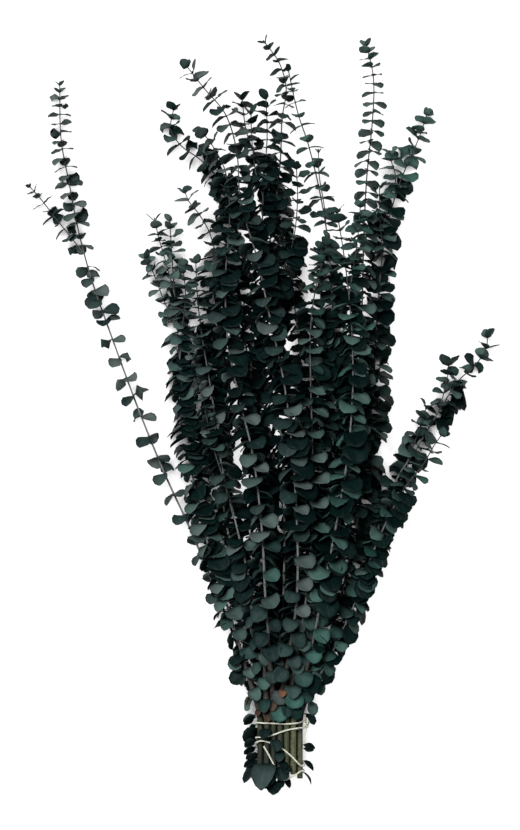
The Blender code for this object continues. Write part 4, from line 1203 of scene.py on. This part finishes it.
def makeLeafMaterial(look):
    leaf = Finish("eucalyptusLeaf")
    # the leaf's lightness: its own tone, with painted shade where it lies under others
    light = leaf.attribute("leafToneAndPaintedShade")
    tones = [leaf.ramp(light, look[tone]) for tone in ("grey", "green")]
    colour = leaf.mix(leaf.attribute("leafGreen"), *tones)
    colour = leaf.mix(leaf.attribute("leafDry"), colour, look["dry"])
    # the bloom lies in soft patches, more of it on the underside
    patches = leaf.noise(look["patchScale"], 4)
    bloom = leaf.times(leaf.gain(patches, *look["bloomGain"]), look["bloomShare"])
    bloom = leaf.math("ADD", bloom, leaf.times(leaf.attribute("underside"), look["bloomUnder"]))
    colour = leaf.mix(leaf.times(bloom, light, clamped=True), colour, look["bloom"])
    # veins, drawn on the blade's own map
    blade = leaf.nodes.new("ShaderNodeUVMap")
    blade.uv_map = "blade"
    split = leaf.nodes.new("ShaderNodeSeparateXYZ")
    leaf.give(split.inputs[0], blade.outputs[0])
    across = split.outputs[0]
    up = split.outputs[1]
    off = leaf.math("ABSOLUTE", leaf.math("SUBTRACT", across, 0.5))
    slant = leaf.math("MULTIPLY_ADD", off, look["veinSlant"], up)
    waves = leaf.math("SINE", leaf.times(slant, look["veinCount"]))
    sideVeins = leaf.times(leaf.gain(waves, *look["sideVein"]), look["sideVeinShare"])
    veins = leaf.math("MAXIMUM", leaf.gain(off, *look["midrib"]), sideVeins)
    seen = leaf.times(veins, leaf.math("MULTIPLY_ADD", light, *look["veinLight"]), clamped=True)
    colour = leaf.mix(seen, colour, look["vein"])
    # dark mottling, and painted shade that darkens the blade towards the stalk and along one edge
    mottle = leaf.gain(leaf.noise(look["mottleScale"], 3), *look["mottleGain"])
    mottle = leaf.times(mottle, look["mottleShare"])
    paintedBladeShade = leaf.math("MAXIMUM", leaf.gain(up, *look["stalkShade"]), leaf.gain(across, *look["edgeShade"]))
    colour = leaf.mix(leaf.math("MAXIMUM", mottle, paintedBladeShade), colour, look["darkMottleAndShade"])
    height = leaf.math("MULTIPLY_ADD", veins, look["veinDepth"], leaf.noise(look["grainScale"], 3))
    leaf.bump(height, look["bumpStrength"], look["bumpDistance"])
    return leaf.surface(colour, leaf.gain(patches, *look["roughness"]), look["gloss"])


barkLook = dict(
    butt=(0.150, 0.165, 0.082), brown=(0.060, 0.050, 0.046), pale=(0.190, 0.205, 0.200),
    tip=(0.016, 0.021, 0.022), shade=(0.008, 0.012, 0.009), wood=(0.26, 0.25, 0.17),
    joint=(0.03, 0.032, 0.03), streak=(0.42, 0.42, 0.40),
    reaches=[(0.0, "butt"), (0.09, "butt"), (0.13, "brown"), (0.2, "brown"), (0.3, "pale"), (0.62, "pale"),
             (0.9, "tip")],
    stretch=(1.0, 0.07, 1.0), streakScale=1500, streakGain=(1.8, -0.45), jointShare=0.6,
    buttGain=(-9.0, 1.6), mottleScale=420, mottleGain=(7.0, -3.4), mottleShare=0.8,
    roughness=0.62, gloss=0.35, bumpStrength=0.5, bumpDistance=0.0003)


def makeBarkMaterial(look):
    bark = Finish("eucalyptusBark")
    reach = bark.attribute("reach")
    tones = bark.ramp(reach, [(place, look[tone]) for place, tone in look["reaches"]])
    # streaks along the stem: noise that is stretched in the way of growth
    stretch = bark.nodes.new("ShaderNodeMapping")
    stretch.inputs["Scale"].default_value = look["stretch"]
    bark.give(stretch.inputs["Vector"], bark.place())
    streaks = bark.noise(look["streakScale"], 4, stretch.outputs[0])
    dark = bark.mix(1.0, tones, look["streak"], "MULTIPLY")
    colour = bark.mix(bark.gain(streaks, *look["streakGain"]), dark, tones)
    colour = bark.mix(bark.times(bark.attribute("jointRing"), look["jointShare"]), colour, look["joint"])
    # painted shade: most of the butts are darker, all but the ones kept lit, and all are mottled
    butt = bark.gain(reach, *look["buttGain"])
    buttPaintedShade = bark.math("SUBTRACT", 1.0, bark.attribute("buttPaintedLight"))
    mottle = bark.gain(bark.noise(look["mottleScale"], 3), *look["mottleGain"])
    mottle = bark.times(mottle, bark.times(butt, look["mottleShare"]))
    shade = bark.math("MAXIMUM", bark.times(butt, buttPaintedShade, clamped=True), mottle)
    colour = bark.mix(shade, colour, look["shade"])
    colour = bark.mix(bark.attribute("cutEnd"), colour, look["wood"])
    bark.bump(streaks, look["bumpStrength"], look["bumpDistance"])
    return bark.surface(colour, look["roughness"], look["gloss"])


stringLook = dict(pale=(0.80, 0.82, 0.70), dark=(0.42, 0.43, 0.33), fibreScale=2600, fibreGain=(2.0, -0.35),
                  roughness=0.8, gloss=0.25, bumpStrength=0.6, bumpDistance=0.0002)


def makeStringMaterial(look):
    string = Finish("creamString")
    fibres = string.noise(look["fibreScale"], 3)
    colour = string.mix(string.gain(fibres, *look["fibreGain"]), look["dark"], look["pale"])
    string.bump(fibres, look["bumpStrength"], look["bumpDistance"])
    return string.surface(colour, look["roughness"], look["gloss"])


leafMaterial = makeLeafMaterial(leafLook)
barkMaterial = makeBarkMaterial(barkLook)
stringMaterial = makeStringMaterial(stringLook)

print("building the stems")
for name in stems:
    own = [shoot for shoot in shoots if shoot.name == name]
    bark = buildBark(name, own)
    leaves = buildLeaves(name, [leaf for shoot in own for leaf in shoot.leaves])
    for piece, material in ((bark, barkMaterial), (leaves, leafMaterial)):
        piece.data.materials.append(material)
        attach(piece, "root")
        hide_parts(name)


# the string

print("winding the string")
# turn: the length of string in one twist; off: how far a ply lies from the middle line
plies = dict(count=3, width=0.98, off=0.42, turn=4.2, sides=7, step=0.55)
knot = dict(y=-307.6, corner=12, out=2.6, size=1.6, steps=150)


def knotLine(outline):
    # a trefoil, set flat on the outer right of the butts
    corner, out = outline[knot["corner"]]
    centre = Vector((corner.x, knot["y"], corner.y)) + Vector((out.x, 0, out.y)) * knot["out"]
    outward = Vector((out.x, 0, out.y))
    upward = Vector((-out.y, 0, out.x))
    points = []
    for step in range(knot["steps"] + 1):
        t = 2 * math.pi * step / knot["steps"]
        radius = (2 + math.cos(3 * t)) * knot["size"]
        points.append(centre + Vector((0, radius * math.cos(2 * t), 0)) + upward * radius * math.sin(2 * t)
                      + outward * math.sin(3 * t) * knot["size"])
    return points


def twistString(line, points, faces):
    sides = plies["sides"]
    run = [0.0]
    for before, after in zip(line, line[1:]):
        run.append(run[-1] + (after - before).length)
    for ply in range(plies["count"]):
        twisted = []
        for length, (point, normal, side) in zip(run, carriedFrames(line)):
            angle = 2 * math.pi * (length / plies["turn"] + ply / plies["count"])
            twisted.append(point + (normal * math.cos(angle) + side * math.sin(angle)) * plies["off"])
        start = len(points)
        rings = tubeRings(twisted, [plies["width"]] * len(twisted), sides)
        for ring in rings:
            points += ring
        faces += tubeFaces(start, len(rings), sides)
        faces.append(tuple(reversed(range(start, start + sides))))
        top = start + (len(rings) - 1) * sides
        faces.append(tuple(range(top, top + sides)))


def buildString():
    points = []
    faces = []
    outline = tieOutline(buttCorners(), clearance + stringWidth / 2)
    for line in (stringLine(outline, plies["step"]), knotLine(outline)):
        twistString(line, points, faces)
    return setUpMesh("string_winding", [point * mm for point in points], faces, {})


winding = buildString()
winding.data.materials.append(stringMaterial)
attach(winding, "root")
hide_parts("tie_string")


# floor, light and camera

print("setting the studio")
studio = dict(floorSize=24.0, floorGlow=0.97, floorGrey=0.2, paintedShadowOcclusion=0.03, paintedShadowGain=(4.0, -0.75),
              cameraHeight=4.0, sensor=36.0, frameHeight=0.830, world=0.04)
lights = dict(
    keyLight=dict(power=120.0, size=1.4, place=(-0.8, 0.9, 2.7), target=(0, 0, 0)),
    fillLight=dict(power=6.0, size=1.6, place=(1.2, -1.4, 1.6), target=(0, -0.1, 0)))
bpy.ops.mesh.primitive_plane_add(size=studio["floorSize"], location=(0, 0, -0.0006))
floor = bpy.context.object
floor.name = "floor"
# the floor gives off an even white light, and a painted shadow from ambient occlusion darkens it where the
# bunch lies closely over it
pale = Finish("paleFloor")
paintedShadowOcclusion = pale.nodes.new("ShaderNodeAmbientOcclusion")
paintedShadowOcclusion.samples = 8
paintedShadowOcclusion.inputs["Distance"].default_value = studio["paintedShadowOcclusion"]
glowWithPaintedShadow = pale.times(pale.gain(paintedShadowOcclusion.outputs["AO"], *studio["paintedShadowGain"]), studio["floorGlow"])
pale.give(pale.shader.inputs["Emission Color"], (1, 1, 1))
pale.give(pale.shader.inputs["Emission Strength"], glowWithPaintedShadow)
floor.data.materials.append(pale.surface((studio["floorGrey"],) * 3, 0.9, 0.0))

for name, look in lights.items():
    bpy.ops.object.light_add(type="AREA", location=look["place"])
    light = bpy.context.object
    light.name = name
    light.data.energy = look["power"]
    light.data.size = look["size"]
    away = Vector(look["target"]) - Vector(look["place"])
    light.rotation_euler = away.to_track_quat("-Z", "Y").to_euler()
world = bpy.data.worlds.new("studioWorld")
world.use_nodes = True
world.node_tree.nodes["Background"].inputs[0].default_value = (1, 1, 1, 1)
world.node_tree.nodes["Background"].inputs[1].default_value = studio["world"]
bpy.context.scene.world = world
bpy.context.scene.view_settings.view_transform = "Standard"

bpy.ops.object.camera_add(location=(0.0, -0.001, studio["cameraHeight"]), rotation=(0, 0, 0))
camera = bpy.context.object
camera.data.sensor_width = studio["sensor"]
camera.data.lens = studio["sensor"] * studio["cameraHeight"] / studio["frameHeight"]
camera.data.clip_end = 30
bpy.context.scene.camera = camera

print("cad box", [[round(value, 4) for value in corner] for corner in cadBox])
